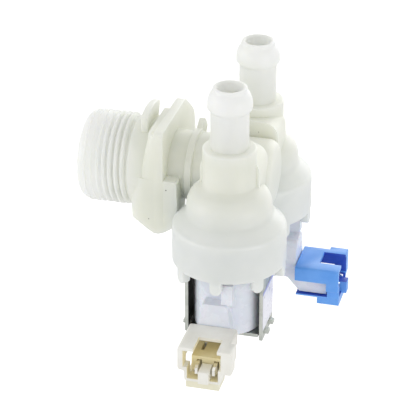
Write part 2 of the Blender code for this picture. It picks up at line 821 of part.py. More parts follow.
def make_yoke(name):
    """Return the steel strip bent over the coil, with slots for the base plate's tabs."""
    outer = YOKE_SPAN
    inner = YOKE_SPAN - YOKE_THICK
    strip = [(-outer, YOKE_FOOT), (-inner, YOKE_FOOT), (-inner, YOKE_TOP - YOKE_THICK)]
    strip += [(inner, YOKE_TOP - YOKE_THICK), (inner, YOKE_FOOT), (outer, YOKE_FOOT)]
    strip += arc((outer - YOKE_BEND, YOKE_TOP - YOKE_BEND), YOKE_BEND, 0, 90, 3)
    strip += arc((YOKE_BEND - outer, YOKE_TOP - YOKE_BEND), YOKE_BEND, 90, 180, 3)
    yoke = prism(name, strip, -YOKE_HALF_WIDTH, YOKE_HALF_WIDTH, "Y")
    hole = [(0.0, YOKE_TOP + 1.0), (GUIDE_CLEAR, YOKE_TOP + 1.0)]
    hole += [(GUIDE_CLEAR, YOKE_TOP - YOKE_THICK - 1.0), (0.0, YOKE_TOP - YOKE_THICK - 1.0)]
    cut(yoke, turn("tube hole", hole, PIECE_SIDES))
    half = TAB_WIDTH / 2 + TOUCH
    for spread in (-TAB_SPREAD, TAB_SPREAD):
        low = (-outer - 1.0, spread - half, PLATE_FOOT - TOUCH)
        cut(yoke, block("slot", low, (outer + 1.0, spread + half, PLATE_FOOT + YOKE_THICK + TOUCH)))
    return yoke


def make_yoke_base(name):
    """Return the base plate that closes the yoke, with two tabs through each leg."""
    inner = YOKE_SPAN - YOKE_THICK - TOUCH
    tip = YOKE_SPAN + TAB_POKE
    half = YOKE_HALF_WIDTH
    side = []
    for spread in (-TAB_SPREAD, TAB_SPREAD):
        side += [(inner, spread - TAB_WIDTH / 2), (tip, spread - TAB_WIDTH / 2)]
        side += [(tip, spread + TAB_WIDTH / 2), (inner, spread + TAB_WIDTH / 2)]
    right = [(inner, -half)] + side + [(inner, half)]
    outline = right + [(-x, -y) for x, y in right]
    plate = prism(name, outline, PLATE_FOOT, PLATE_FOOT + YOKE_THICK)
    hole = [(0.0, PLATE_FOOT + YOKE_THICK + 1.0), (GUIDE_CLEAR, PLATE_FOOT + YOKE_THICK + 1.0)]
    hole += [(GUIDE_CLEAR, PLATE_FOOT - 1.0), (0.0, PLATE_FOOT - 1.0)]
    return cut(plate, turn("tube hole", hole, PIECE_SIDES))


def make_bobbin(name):
    """Return the spool that carries the winding."""
    core = BOBBIN_BORE + BOBBIN_CORE
    profile = [
        (BOBBIN_BORE, BOBBIN_TOP),
        (BOBBIN_RADIUS, BOBBIN_TOP),
        (BOBBIN_RADIUS, BOBBIN_TOP - BOBBIN_FLANGE),
        (core, BOBBIN_TOP - BOBBIN_FLANGE),
        (core, BOBBIN_FOOT + BOBBIN_FLANGE),
        (BOBBIN_RADIUS, BOBBIN_FOOT + BOBBIN_FLANGE),
        (BOBBIN_RADIUS, BOBBIN_FOOT),
        (BOBBIN_BORE, BOBBIN_FOOT),
    ]
    return turn(name, profile, INNER_SIDES)


def make_winding(name):
    """Return the copper winding as one solid ring."""
    inner = BOBBIN_BORE + BOBBIN_CORE + TOUCH
    outer = BOBBIN_RADIUS - WINDING_SINK
    top = BOBBIN_TOP - BOBBIN_FLANGE - TOUCH
    foot = BOBBIN_FOOT + BOBBIN_FLANGE + TOUCH
    return turn(name, [(inner, top), (outer, top), (outer, foot), (inner, foot)], INNER_SIDES)


def make_coil_case(name):
    """Return the moulded coil case with its side block, neck, arm and terminal base."""
    outside = [
        (0.0, COIL_TOP),
        (COIL_RADIUS - 0.4, COIL_TOP),
        (COIL_RADIUS, COIL_TOP - 0.4),
        (COIL_RADIUS, COIL_FOOT + 0.4),
        (COIL_RADIUS - 0.4, COIL_FOOT),
        (0.0, COIL_FOOT),
    ]
    case = turn(name, outside, PIECE_SIDES)
    root = -COIL_RADIUS / 2
    rib = [(root, COIL_TOP - SHY), (-BLOCK_REACH, COIL_TOP - SHY), (-BLOCK_REACH, BLOCK_FOOT)]
    rib += [(-COIL_RADIUS, BLOCK_ROOT_FOOT), (root, BLOCK_ROOT_FOOT)]
    join(case, prism("block", rib, BLOCK_V[0], BLOCK_V[1], "X"))
    left, right = NECK_V
    lean = (right - left) * 0.14
    neck = [(left, NECK_FOOT), (right, NECK_FOOT), (right - lean, NECK_TOP), (left + lean, NECK_TOP)]
    join(case, prism("neck", rounded(neck, NECK_ROUND), -SHROUD_BACK + TOUCH, root, "Y"))
    join(case, prism("arm", arm_outline(), ARM_V[0], ARM_V[1], "X"))
    hollow_radius = COIL_RADIUS - COIL_WALL
    hollow = [
        (0.0, COIL_TOP - COIL_CAP_THICK),
        (hollow_radius, COIL_TOP - COIL_CAP_THICK),
        (hollow_radius, COIL_FOOT + COIL_CAP_THICK),
        (0.0, COIL_FOOT + COIL_CAP_THICK),
    ]
    bore = [(0.0, COIL_TOP + 1.0), (GUIDE_CLEAR, COIL_TOP + 1.0)]
    bore += [(GUIDE_CLEAR, COIL_FOOT - 1.0), (0.0, COIL_FOOT - 1.0)]
    cut(case, turn("coil hollow", hollow, PIECE_SIDES), turn("coil bore", bore, PIECE_SIDES))
    half_thick = BLADE_THICK / 2 + TOUCH
    half_width = BLADE_WIDTH / 2 + TOUCH
    for place in BLADE_V:
        low = (place - half_thick, -BASE_REACH - 1.0, BLADE_MIDDLE - half_width)
        high = (place + half_thick, TOUCH - BLADE_START, BLADE_MIDDLE + half_width)
        cut(case, block("blade slot", low, high))
    return case


def arm_outline():
    """Return the side outline, (y, z), of the arm that drops from the coil to the terminal base."""
    root = -YOKE_HALF_WIDTH - 1.0
    return [
        (root, ARM_TOP),
        (-SHROUD_BACK + TOUCH, ARM_TOP - ARM_DROP),
        (-BASE_START, BASE_TOP),
        (-BASE_REACH, BASE_TOP),
        (-BASE_REACH, BASE_FOOT),
        (-BASE_START, BASE_FOOT),
        (-COIL_RADIUS - 1.0, COIL_FOOT - 0.4),
        (root, COIL_FOOT + SHY),
    ]


def make_blade(name, place):
    """Return one upright terminal blade with a tapered tip."""
    low = BLADE_MIDDLE - BLADE_WIDTH / 2
    high = BLADE_MIDDLE + BLADE_WIDTH / 2
    outline = [
        (-BLADE_START, low),
        (-BLADE_START, high),
        (BLADE_POINT - BLADE_END, high),
        (-BLADE_END, high - BLADE_POINT / 2),
        (-BLADE_END, low + BLADE_POINT / 2),
        (BLADE_POINT - BLADE_END, low),
    ]
    return prism(name, outline, place - BLADE_THICK / 2, place + BLADE_THICK / 2, "X")


def stepped_outline(upper, lower, top, step, foot):
    """Return a T-shaped outline, (v, z): a wide upper part over a narrower lower one."""
    return [
        (lower[0], foot),
        (lower[1], foot),
        (lower[1], step),
        (upper[1], step),
        (upper[1], top),
        (upper[0], top),
        (upper[0], step),
        (lower[0], step),
    ]


def make_shroud(name):
    """Return the connector shroud: keyed on top, windowed at the sides, with a lip and a tongue."""
    left, right = SHROUD_V
    shell = stepped_outline(SHROUD_V, CHANNEL_V, SHROUD_TOP, SHROUD_STEP, SHROUD_FOOT)
    shroud = prism(name, rounded(shell, SHROUD_ROUND), -SHROUD_FRONT, -SHROUD_BACK, "Y")
    wide = [(right - 2.0, SHROUD_STEP + SHY), (right + COLLAR_OUT, SHROUD_STEP + SHY)]
    wide += [(right + COLLAR_OUT, SHROUD_TOP - SHY), (right - 2.0, SHROUD_TOP - SHY)]
    collar = prism("collar", rounded(wide, SHROUD_ROUND), SHY - SHROUD_FRONT, COLLAR_LENGTH - SHROUD_FRONT, "Y")
    low = (CHANNEL_V[0] + LIP_INSET, SHY - SHROUD_FRONT, SHROUD_FOOT - LIP_DROP)
    high = (CHANNEL_V[1] - LIP_INSET, LIP_LENGTH - SHROUD_FRONT, SHROUD_FOOT + CHANNEL_WALL / 2)
    join(shroud, collar, block("lip", low, high))
    wider = (left + SHROUD_SIDE, right - SHROUD_SIDE)
    narrower = (ARM_V[0] - TOUCH, ARM_V[1] + TOUCH)
    hollow = stepped_outline(wider, narrower, SHROUD_TOP - SHROUD_WALL, SHROUD_STEP + SHROUD_WALL, CHANNEL_FLOOR)
    cut(shroud, prism("cavity", hollow, -SHROUD_FRONT - 1.0, -SHROUD_BACK - SHROUD_BACK_WALL, "Y"))
    arm_top = ARM_TOP - ARM_DROP + TOUCH
    low = (narrower[0], -SHROUD_BACK - SHROUD_BACK_WALL - SHY, CHANNEL_FLOOR)
    cut(shroud, block("arm way", low, (narrower[1], 1.0 - SHROUD_BACK, arm_top)))
    low = (left - 1.0, -SIDE_WINDOW_END, CHANNEL_FLOOR - SHY)
    cut(shroud, block("side window", low, (right + COLLAR_OUT + 1.0, 1.0 - SHROUD_BACK, SIDE_WINDOW_TOP)))
    low = (KEY_V[0], -SHROUD_FRONT - 1.0, SHROUD_TOP - SHROUD_WALL - 1.0)
    cut(shroud, block("key", low, (KEY_V[1], KEY_DEPTH - SHROUD_FRONT, SHROUD_TOP + 1.0)))
    low = (TONGUE_V[0], -SHROUD_FRONT - TONGUE_OUT, SHROUD_FOOT + CHANNEL_WALL / 2)
    return join(shroud, block("tongue", low, (TONGUE_V[1], -TONGUE_START, TONGUE_TOP)))


def make_valve(prefix, side, turned, looks, shroud_look):
    """Make every piece of one solenoid valve below the body's cap."""
    stand = make_valve_stand(prefix + "_stand", side, turned)
    pieces = [
        (make_diaphragm(prefix + "_diaphragm"), "rubber"),
        (make_hub(prefix + "_diaphragm_hub"), "hub"),
        (make_guide(prefix + "_plunger_guide"), "nylon"),
        (make_plunger(prefix + "_plunger"), "steel"),
        (make_plunger_seat(prefix + "_plunger_seat"), "rubber"),
        (make_spring(prefix + "_plunger_spring"), "spring"),
        (make_bobbin(prefix + "_bobbin"), "bobbin"),
        (make_winding(prefix + "_winding"), "copper"),
        (make_coil_case(prefix + "_coil_case"), "coil"),
        (make_yoke(prefix + "_yoke"), "zinc"),
        (make_yoke_base(prefix + "_yoke_base"), "zinc"),
        (make_shroud(prefix + "_shroud"), shroud_look),
    ]
    for index, place in enumerate(BLADE_V):
        pieces.append((make_blade(f"{prefix}_terminal_{index + 1}", place), "tin"))
    for item, look in pieces:
        finish(item, looks[look], stand)


def make_looks():
    """Return the materials by name."""
    return {
        "nylon": material("natural nylon", (0.80, 0.81, 0.73), 0.42),
        "hub": material("hub plastic", (0.62, 0.64, 0.60), 0.45),
        "mesh": material("filter plastic", (0.75, 0.72, 0.55), 0.5),
        "rubber": material("black rubber", (0.03, 0.03, 0.03), 0.7),
        "steel": material("plunger steel", (0.55, 0.55, 0.56), 0.3, 1.0),
        "spring": material("spring steel", (0.6, 0.6, 0.62), 0.28, 1.0),
        "bobbin": material("bobbin plastic", (0.72, 0.72, 0.68), 0.5),
        "copper": material("winding copper", (0.62, 0.25, 0.1), 0.35, 1.0),
        "coil": material("coil moulding", (0.70, 0.73, 0.82), 0.4),
        "zinc": material("galvanised steel", (0.55, 0.57, 0.56), 0.38, 1.0),
        "tin": material("tinned brass", (0.66, 0.64, 0.58), 0.3, 1.0),
        "cream": material("cream connector plastic", (0.78, 0.77, 0.66), 0.45),
        "blue": material("blue connector plastic", (0.06, 0.22, 0.78), 0.4),
    }


def main():
    """Make the whole valve."""
    clear_scene()
    looks = make_looks()
    finish(make_body(), looks["nylon"])
    finish(make_filter(), looks["mesh"])
    finish(make_flow_washer(), looks["rubber"])
    make_valve("front", -1, False, looks, "cream")
    make_valve("rear", 1, True, looks, "blue")


main()
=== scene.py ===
# %% [markdown]
# The washing machine inlet valve, dressed
#
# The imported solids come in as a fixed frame: the moulded body, two solenoid coils in steel
# yokes, their connectors, and the small pieces inside that move. This lesson puts finer
# surfaces over the pieces that show, and gives every piece the finish of its real material.

# %% Load the frame
import math

import bpy
from mathutils import Matrix, Vector


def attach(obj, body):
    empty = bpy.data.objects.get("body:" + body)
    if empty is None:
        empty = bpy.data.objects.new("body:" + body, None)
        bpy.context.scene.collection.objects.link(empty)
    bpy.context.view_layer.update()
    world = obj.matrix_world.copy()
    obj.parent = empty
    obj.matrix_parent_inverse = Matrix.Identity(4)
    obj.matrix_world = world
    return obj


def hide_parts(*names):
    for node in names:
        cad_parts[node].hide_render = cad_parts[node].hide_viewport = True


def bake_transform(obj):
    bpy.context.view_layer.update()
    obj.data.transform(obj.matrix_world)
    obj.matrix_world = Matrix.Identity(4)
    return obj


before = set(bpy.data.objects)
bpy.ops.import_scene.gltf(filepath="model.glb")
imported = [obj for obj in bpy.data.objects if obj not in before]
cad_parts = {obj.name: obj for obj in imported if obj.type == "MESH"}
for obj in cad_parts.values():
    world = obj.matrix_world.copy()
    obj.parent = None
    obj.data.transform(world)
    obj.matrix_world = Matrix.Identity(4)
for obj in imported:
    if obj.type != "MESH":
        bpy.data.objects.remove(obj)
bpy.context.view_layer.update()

# %% [markdown]
# Sizes are thought of in millimetres, as on a drawing, and Blender works in metres. One
# function turns one into the other. A second one turns the colour that a picture program
# shows, written as a hex value, into the linear numbers that a shader mixes with. The
# numbers in it are those of the sRGB standard's curve.


# %% Millimetres and colours
def mm(value):
    """Return millimetres as metres."""
    return value * 0.001


def linear(code):
    """Return the linear colour of an sRGB hex value."""
    parts = [int(code[start:start + 2], 16) / 255 for start in (1, 3, 5)]
    flat = [part / 12.92 if part <= 0.04045 else ((part + 0.055) / 1.055) ** 2.4 for part in parts]
    return (*flat, 1.0)


print("mid grey is", [round(part, 3) for part in linear("#808080")[:3]])

# %% [markdown]
# The photograph was taken from above and a little to the right, with a long lens, which
# keeps the two nozzles parallel. The same place is used here, so that the render can be
# laid over it.

# %% Camera
EYE = (147.5, -513.9, 268.6)
TILT = 62.0
TURN = 14.7
lens = bpy.data.cameras.new("photo lens")
lens.lens = 180.0
lens.sensor_width = 36.0
lens.clip_end = 20.0
camera = bpy.data.objects.new("photo camera", lens)
bpy.context.scene.collection.objects.link(camera)
camera.location = [mm(value) for value in EYE]
camera.rotation_euler = (math.radians(TILT), 0.0, math.radians(TURN))
bpy.context.scene.camera = camera
print("camera stands", round(camera.location.length * 1000), "mm from the origin")

# %% [markdown]
# A material is a small network of nodes. One function adds any node, sets its values and
# joins its inputs, so each material below reads as a list of what it is made of.


# %% A node, a material
def add_node(tree, kind, settings=None, links=None):
    """Add a node, set its inputs or its own settings, and link sources into it."""
    node = tree.nodes.new(kind)
    for key, value in (settings or {}).items():
        if isinstance(key, int) or key in node.inputs:
            node.inputs[key].default_value = value
        else:
            setattr(node, key, value)
    for key, source in (links or {}).items():
        tree.links.new(source, node.inputs[key])
    return node


def new_material(name, **shader_settings):
    """Return a material, its node tree and its shader."""
    made = bpy.data.materials.new(name)
    made.use_nodes = True
    tree = made.node_tree
    shader = tree.nodes["Principled BSDF"]
    for key, value in shader_settings.items():
        shader.inputs[key.replace("_", " ")].default_value = value
    return made, tree, shader


print("materials before any is made here:", len(bpy.data.materials))

# %% [markdown]
# Nothing real has one even colour. Soft noise, whose patches are some millimetres wide, is
# where three small patterns start: a mottle between two colours, a fine bump for the grain
# of a surface, and a gloss that wanders between duller and shinier. Most of such a noise
# lies near its middle, so the mottle and the gloss spread that part over their whole range.


# %% Patterns
def cloud(tree, size, detail):
    """Return soft noise from 0 to 1 over the object, its patches about size millimetres wide."""
    place = add_node(tree, "ShaderNodeTexCoord")
    settings = {"Scale": 1000.0 / size, "Detail": detail}
    noise = add_node(tree, "ShaderNodeTexNoise", settings, {"Vector": place.outputs["Object"]})
    return noise.outputs["Fac"]


def blotches(tree, size, low, high, detail=3.0):
    """Return a soft mottle between two colours, its patches about size millimetres wide."""
    ramp = add_node(tree, "ShaderNodeValToRGB", links={"Fac": cloud(tree, size, detail)})
    for stop, position, colour in zip(ramp.color_ramp.elements, (0.35, 0.65), (low, high)):
        stop.position = position
        stop.color = linear(colour)
    return ramp.outputs["Color"]


def grain(tree, shader, size, height):
    """Give a shader a fine bump, size and height in millimetres."""
    settings = {"Strength": 0.5, "Distance": mm(height)}
    bump = add_node(tree, "ShaderNodeBump", settings, {"Height": cloud(tree, size, 2.0)})
    tree.links.new(bump.outputs["Normal"], shader.inputs["Normal"])


def uneven_gloss(tree, shader, size, low, high):
    """Let the roughness wander between two values over patches of a size in millimetres."""
    settings = {"From Min": 0.3, "From Max": 0.7, "To Min": low, "To Max": high}
    spread = add_node(tree, "ShaderNodeMapRange", settings, {"Value": cloud(tree, size, 3.0)})
    tree.links.new(spread.outputs["Result"], shader.inputs["Roughness"])


print("a patch of 14 mm needs a noise scale of", round(1000.0 / 14.0, 1))

# %% [markdown]
# The body is injection-moulded polyamide in its natural colour, without pigment. Such nylon
# is milky: light enters, scatters and comes out again, so edges glow and shadows stay pale
# and a little green. Subsurface scattering gives that. The colour drifts over patches as
# wide as a wall. It looks warm in the flange and the manifold and cooler in the deep caps.
# Towards the hose mouth and the nozzles' tips it is painted brighter, a painted glow for the
# light that comes in through the thin ends. Four ramps along X and Z tell the three apart. A
# mix of two colours has its sockets at fixed numbers, which are named here for all the materials.

# %% Natural nylon
COLOUR_A, COLOUR_B, COLOUR_OUT = 6, 7, 2
NYLON_PATCH = 14.0


def either_ramp(tree, split, ramps):
    """Return the larger of two ramps along an axis, each from 0 to 1 between two millimetres."""
    ends = []
    for side, nought, one in ramps:
        settings = {"From Min": mm(nought), "From Max": mm(one)}
        ramp = add_node(tree, "ShaderNodeMapRange", settings, {"Value": split.outputs[side]})
        ends.append(ramp.outputs["Result"])
    larger = add_node(tree, "ShaderNodeMath", {"operation": "MAXIMUM"}, {0: ends[0], 1: ends[1]})
    return larger.outputs[0]


nylon, tree, shader = new_material("natural nylon", IOR=1.53, Subsurface_Weight=0.6)
shader.inputs["Subsurface Scale"].default_value = mm(5.0)
shader.inputs["Subsurface Radius"].default_value = (1.0, 0.97, 0.86)
nylon_place = add_node(tree, "ShaderNodeTexCoord")
split = add_node(tree, "ShaderNodeSeparateXYZ", links={"Vector": nylon_place.outputs["Object"]})
warm = either_ramp(tree, split, (("Z", -10.0, 4.0), ("X", 8.0, 2.0)))
# Painted light: this ramp and the tips colour below paint the hose mouth and the nozzles' tips
# brighter, a painted glow.
painted_glow_ramp = either_ramp(tree, split, (("Z", 12.0, 30.0), ("X", -3.0, -16.0)))
deep = blotches(tree, NYLON_PATCH, "#e1e5e1", "#e8ebe7")
thin = blotches(tree, NYLON_PATCH, "#e4e6da", "#ebece1")
tips = blotches(tree, NYLON_PATCH, "#f2f4ef", "#f8f9f5")
links = {0: warm, COLOUR_A: deep, COLOUR_B: thin}
walls = add_node(tree, "ShaderNodeMix", {"data_type": "RGBA"}, links)
links = {0: painted_glow_ramp, COLOUR_A: walls.outputs[COLOUR_OUT], COLOUR_B: tips}
tone_and_painted_glow = add_node(tree, "ShaderNodeMix", {"data_type": "RGBA"}, links)
print("made", nylon.name, "with", len(tree.nodes), "nodes so far")

# %% [markdown]
# A few specks of dust lie on the real body. They come from a cell pattern: whatever lies
# nearer to a cell's centre than the radius of a speck is dust. Moulded skin also has a
# slight orange peel, about half a millimetre wide, and its gloss isn't quite even.

# %% Dust and skin of the nylon
SPECK_SPACING = 6.0
SPECK_RADIUS = 0.18
settings = {"Scale": 1000.0 / SPECK_SPACING}
cells = add_node(tree, "ShaderNodeTexVoronoi", settings, {"Vector": nylon_place.outputs["Object"]})
settings = {"operation": "LESS_THAN", 1: SPECK_RADIUS / SPECK_SPACING}
speck = add_node(tree, "ShaderNodeMath", settings, {0: cells.outputs["Distance"]})
settings = {"data_type": "RGBA", COLOUR_B: linear("#6a645a")}
links = {0: speck.outputs[0], COLOUR_A: tone_and_painted_glow.outputs[COLOUR_OUT]}
dust_and_painted_glow = add_node(tree, "ShaderNodeMix", settings, links)
tree.links.new(dust_and_painted_glow.outputs[COLOUR_OUT], shader.inputs["Base Color"])
uneven_gloss(tree, shader, 6.0, 0.34, 0.46)
grain(tree, shader, 0.5, 0.02)
print(nylon.name, "has", len(tree.nodes), "nodes in all")

# %% [markdown]
# The nozzles' bores are painted brightest of all: a brighter kind of the same nylon is a
# painted glow for the light that comes through their thin walls from every side. A scattering
# shader turns grainy in such a hollow, so this painted glow is a plain shader.

# %% Nylon with a painted glow
painted_glow_nylon, tree, shader = new_material("painted glow of the nozzle bores", IOR=1.53)
tree.links.new(blotches(tree, NYLON_PATCH, "#f4f5f0", "#f8f8f4"), shader.inputs["Base Color"])
uneven_gloss(tree, shader, 6.0, 0.4, 0.5)
print("made", painted_glow_nylon.name)

# %% [markdown]
# The coils are cast in a white thermoplastic with a cold, faintly lilac tint. It scatters
# far less light than the nylon and is glossier, so it takes clear highlights along its
# round side.

# %% Coil moulding
coil_white, tree, shader = new_material("lilac white polypropylene", IOR=1.49, Subsurface_Weight=0.12)
shader.inputs["Subsurface Scale"].default_value = mm(2.0)
tree.links.new(blotches(tree, 9.0, "#e3e7f1", "#edf0f8"), shader.inputs["Base Color"])
uneven_gloss(tree, shader, 4.0, 0.22, 0.34)
grain(tree, shader, 0.7, 0.012)
print("made", coil_white.name)

# %% [markdown]
# The two plug sockets are one moulding in two colours of glass-filled polyester. It has a
# fine, even texture of about a quarter of a millimetre. Light that has bounced about inside a
# socket comes out stronger in colour, amber from the cream one and deep blue from the blue
# one. That light is painted: the inner faces get a painted shade of deeper colour, and the
# lip and the terminal base a paler painted amber.


# %% Socket plastics
def connector_plastic(name, low, high, roughness):
    """Return a dyed polyester with a fine moulded texture."""
    made, tree, shader = new_material(name, IOR=1.57)
    tree.links.new(blotches(tree, 5.0, low, high), shader.inputs["Base Color"])
    uneven_gloss(tree, shader, 2.5, roughness - 0.05, roughness + 0.05)
    grain(tree, shader, 0.25, 0.012)
    return made


cream = connector_plastic("cream polyester", "#efede4", "#f4f3ec", 0.42)
# Painted light: the three ambers and the deep blue stand in for bounced light and shade inside the
# sockets.
amber = connector_plastic("painted amber shade in the cream socket", "#ebdfb0", "#f3eac8", 0.5)
painted_lip_amber = connector_plastic("painted pale amber on the cream socket's lip", "#ece8cf", "#f1eeda", 0.42)
painted_base_amber = connector_plastic("painted amber on the terminal base", "#f6e9b8", "#faf0ca", 0.45)
blue = connector_plastic("blue polyester", "#5a9ff4", "#69aafa", 0.38)
painted_shade_blue = connector_plastic("painted deep blue shade in the blue socket", "#1f49bd", "#2a58cc", 0.45)
print("made", cream.name, "and", blue.name, "with their deeper shades")

# %% [markdown]
# The yokes are bent from cold-rolled strip with a thin zinc coat. Rolling leaves fine lines
# along the strip and the coat dulls in patches a few millimetres wide. The lines are drawn
# 0.3 mm apart, coarser than the real ones, so that they show. The same function makes the
# turned plungers, the drawn spring wire and the tinned blades, with lines that run their way.


# %% Zinc-coated steel and other metals
def metal(name, low, high, roughness, line=0.3, stretch=(1.0, 1.0, 0.04)):
    """Return a drawn or rolled metal with lines along one way and dull patches."""
    made, tree, shader = new_material(name, Metallic=1.0)
    tree.links.new(blotches(tree, 3.5, low, high, 5.0), shader.inputs["Base Color"])
    uneven_gloss(tree, shader, 2.0, roughness - 0.07, roughness + 0.07)
    place = add_node(tree, "ShaderNodeTexCoord")
    links = {"Vector": place.outputs["Object"]}
    long = add_node(tree, "ShaderNodeMapping", {"Scale": stretch}, links)
    settings = {"Scale": 1000.0 / line, "Detail": 2.0}
    lines = add_node(tree, "ShaderNodeTexNoise", settings, {"Vector": long.outputs["Vector"]})
    settings = {"Strength": 0.4, "Distance": mm(0.004)}
    bump = add_node(tree, "ShaderNodeBump", settings, {"Height": lines.outputs["Fac"]})
    tree.links.new(bump.outputs["Normal"], shader.inputs["Normal"])
    return made


zinc = metal("zinc-coated steel", "#b9bdb6", "#d3d6d0", 0.36)
# Painted shade: a nearly black copy of the zinc for the yokes' inner faces and undersides.
painted_shade_zinc = metal("painted dark shade of the yokes", "#1a1c19", "#2b2e29", 0.6)
plunger_steel = metal("turned ferritic steel", "#a6a6a4", "#bcbcba", 0.28, stretch=(0.1, 0.1, 1.0))
spring_steel = metal("drawn spring steel", "#a9aaad", "#c2c3c6", 0.26, line=0.1)
tin = metal("tinned brass", "#eeece4", "#faf8f2", 0.34, stretch=(1.0, 0.04, 1.0))
print("made", zinc.name, "and four more metals")

# %% [markdown]
# Inside sit rubber seals, a copper winding and a fine strainer. They are seen only through
# the bores, but each keeps its own finish: rubber is dull and nearly black, and the winding
# shows the rows of its enamelled wire, 0.3 mm thick. A wave pattern draws 20 / tau bands in
# one unit of length, so the scale that gives one band for each wire is worked out from that.

# %% Rubber, copper wire and strainer
rubber, tree, shader = new_material("moulded rubber", IOR=1.52)
tree.links.new(blotches(tree, 3.0, "#1d1e1f", "#262728"), shader.inputs["Base Color"])
uneven_gloss(tree, shader, 1.5, 0.6, 0.75)
grain(tree, shader, 0.4, 0.02)

WINDING_WIRE = 0.3
BANDS_IN_A_UNIT = 20.0 / math.tau
copper, tree, shader = new_material("enamelled copper wire", Metallic=1.0, Roughness=0.3)
tree.links.new(blotches(tree, 2.0, "#a8552b", "#c26a38"), shader.inputs["Base Color"])
place = add_node(tree, "ShaderNodeTexCoord")
settings = {"wave_type": "BANDS", "bands_direction": "Z"}
settings["Scale"] = 1000.0 / WINDING_WIRE / BANDS_IN_A_UNIT
rows = add_node(tree, "ShaderNodeTexWave", settings, {"Vector": place.outputs["Object"]})
settings = {"Strength": 0.8, "Distance": mm(0.08)}
bump = add_node(tree, "ShaderNodeBump", settings, {"Height": rows.outputs["Fac"]})
tree.links.new(bump.outputs["Normal"], shader.inputs["Normal"])

strainer = connector_plastic("strainer nylon", "#d9d2b4", "#e4ddc2", 0.5)
hub_plastic = connector_plastic("glass-filled hub plastic", "#c9cbc6", "#d6d8d3", 0.45)
spool_plastic = connector_plastic("bobbin polyester", "#dad9d0", "#e6e5dc", 0.5)
print("made", rubber.name + ",", copper.name, "and three inner plastics")

# %% [markdown]
# Every CAD piece gets its better finish in its own material slot. The pieces that are copied
# further down pass theirs on to the copy.

# %% Finishes on the solids
FINISHES = {
    "inlet_filter": strainer,
    "flow_washer": rubber,
    "diaphragm": rubber,
    "diaphragm_hub": hub_plastic,
    "plunger_guide": nylon,
    "plunger": plunger_steel,
    "plunger_seat": rubber,
    "plunger_spring": spring_steel,
    "bobbin": spool_plastic,
    "winding": copper,
    "coil_case": coil_white,
    "yoke": zinc,
    "yoke_base": zinc,
    "front_shroud": cream,
    "rear_shroud": blue,
    "terminal_1": tin,
    "terminal_2": tin,
    "valve_body": nylon,
}
for name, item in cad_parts.items():
    kind = name.removeprefix("front_").removeprefix("rear_")
    item.data.materials.clear()
    item.data.materials.append(FINISHES.get(name) or FINISHES[kind])
print("dressed", len(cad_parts), "nodes")

# %% [markdown]
# Blender's operators work on what is selected, so each step first deselects everything and
# then takes hold of its own piece. A few short functions do that, copy a piece with a mesh of
# its own, and move a piece while its object stays at the origin.


# %% Take hold of a piece
def deselect():
    """Leave edit mode and deselect everything."""
    if bpy.context.object and bpy.context.object.mode != "OBJECT":
        bpy.ops.object.mode_set(mode="OBJECT")
    bpy.ops.object.select_all(action="DESELECT")


def hold(piece):
    """Make one piece the only selected and the active object."""
    deselect()
    piece.select_set(True)
    bpy.context.view_layer.objects.active = piece


def edit_all():
    """Enter edit mode on the active piece with all of it selected."""
    bpy.ops.object.mode_set(mode="EDIT")
    bpy.ops.mesh.select_all(action="SELECT")


def copied(piece):
    """Return a copy of a piece with a mesh of its own."""
    twin = piece.copy()
    twin.data = piece.data.copy()
    bpy.context.scene.collection.objects.link(twin)
    return twin


def place_mesh(piece, matrix):
    """Move a piece by a matrix and leave its object at the origin."""
    hold(piece)
    piece.matrix_world = matrix
    bpy.ops.object.transform_apply(location=True, rotation=True, scale=True)
    return piece


def outward(piece):
    """Make all of a closed piece's faces point outwards."""
    hold(piece)
    edit_all()
    bpy.ops.mesh.normals_make_consistent(inside=False)
    bpy.ops.object.mode_set(mode="OBJECT")
    return piece


deselect()
print("selected now:", len(bpy.context.selected_objects))

# %% [markdown]
# The rigid pieces are sharp-edged solids. A real moulding or a sheared strip has a small
# radius on every edge, and that radius is what catches the light. So a copy of the piece has
# its loose triangles merged, its flat faces joined again, and its edges bevelled.

# %% Round the edges of a copy
SHARP = 40.0
SMOOTH = 35.0
EDGE_RADII = {"coil_case": 0.25, "yoke": 0.12, "yoke_base": 0.1, "shroud": 0.18}
rounded = {}


def soften(piece, radius, segments=2):
    """Bevel a piece's sharp edges, apply that, and shade the rest smooth."""
    hold(piece)
    step = piece.modifiers.new("edge radius", "BEVEL")
    step.width = mm(radius)
    step.segments = segments
    step.limit_method = "ANGLE"
    step.angle_limit = math.radians(SHARP)
    step.use_clamp_overlap = True
    bpy.ops.object.modifier_apply(modifier=step.name)
    bpy.ops.object.shade_smooth_by_angle(angle=math.radians(SMOOTH))


def rounded_copy(node, name, radius):
    """Copy a CAD piece with its edges rounded to a radius in millimetres."""
    piece = copied(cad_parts[node])
    piece.name = name
    piece.parent = None
    piece.matrix_world = Matrix.Identity(4)
    hold(piece)
    edit_all()
    bpy.ops.mesh.remove_doubles(threshold=mm(0.002))
    bpy.ops.mesh.dissolve_limited(angle_limit=math.radians(0.5))
    bpy.ops.object.mode_set(mode="OBJECT")
    soften(piece, radius)
    return piece


for prefix in ("front", "rear"):
    for kind, radius in EDGE_RADII.items():
        node = f"{prefix}_{kind}"
        rounded[node] = rounded_copy(node, f"rounded_{node}", radius)
        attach(rounded[node], "housing")
        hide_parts(node)
        print(rounded[node].name, len(rounded[node].data.polygons), "faces")

# %% [markdown]
# Most of the body is turned shapes: the inlet with its manifold, and each valve's chamber with
# its nozzle. A turned shape can be drawn as a lathe works. A filled circle stands at the first
# radius, and each step pushes its face along the axis and resizes it. Pushing outwards, up,
# inwards and down again gives steps, cones and hollows, and the shape is closed all the time.

# %% Turned shapes
BODY_SIDES = 96


def push_on(height):
    """Push the selected face on along Z by a height in millimetres."""
    bpy.ops.mesh.extrude_region_move(TRANSFORM_OT_translate={"value": (0.0, 0.0, mm(height))})


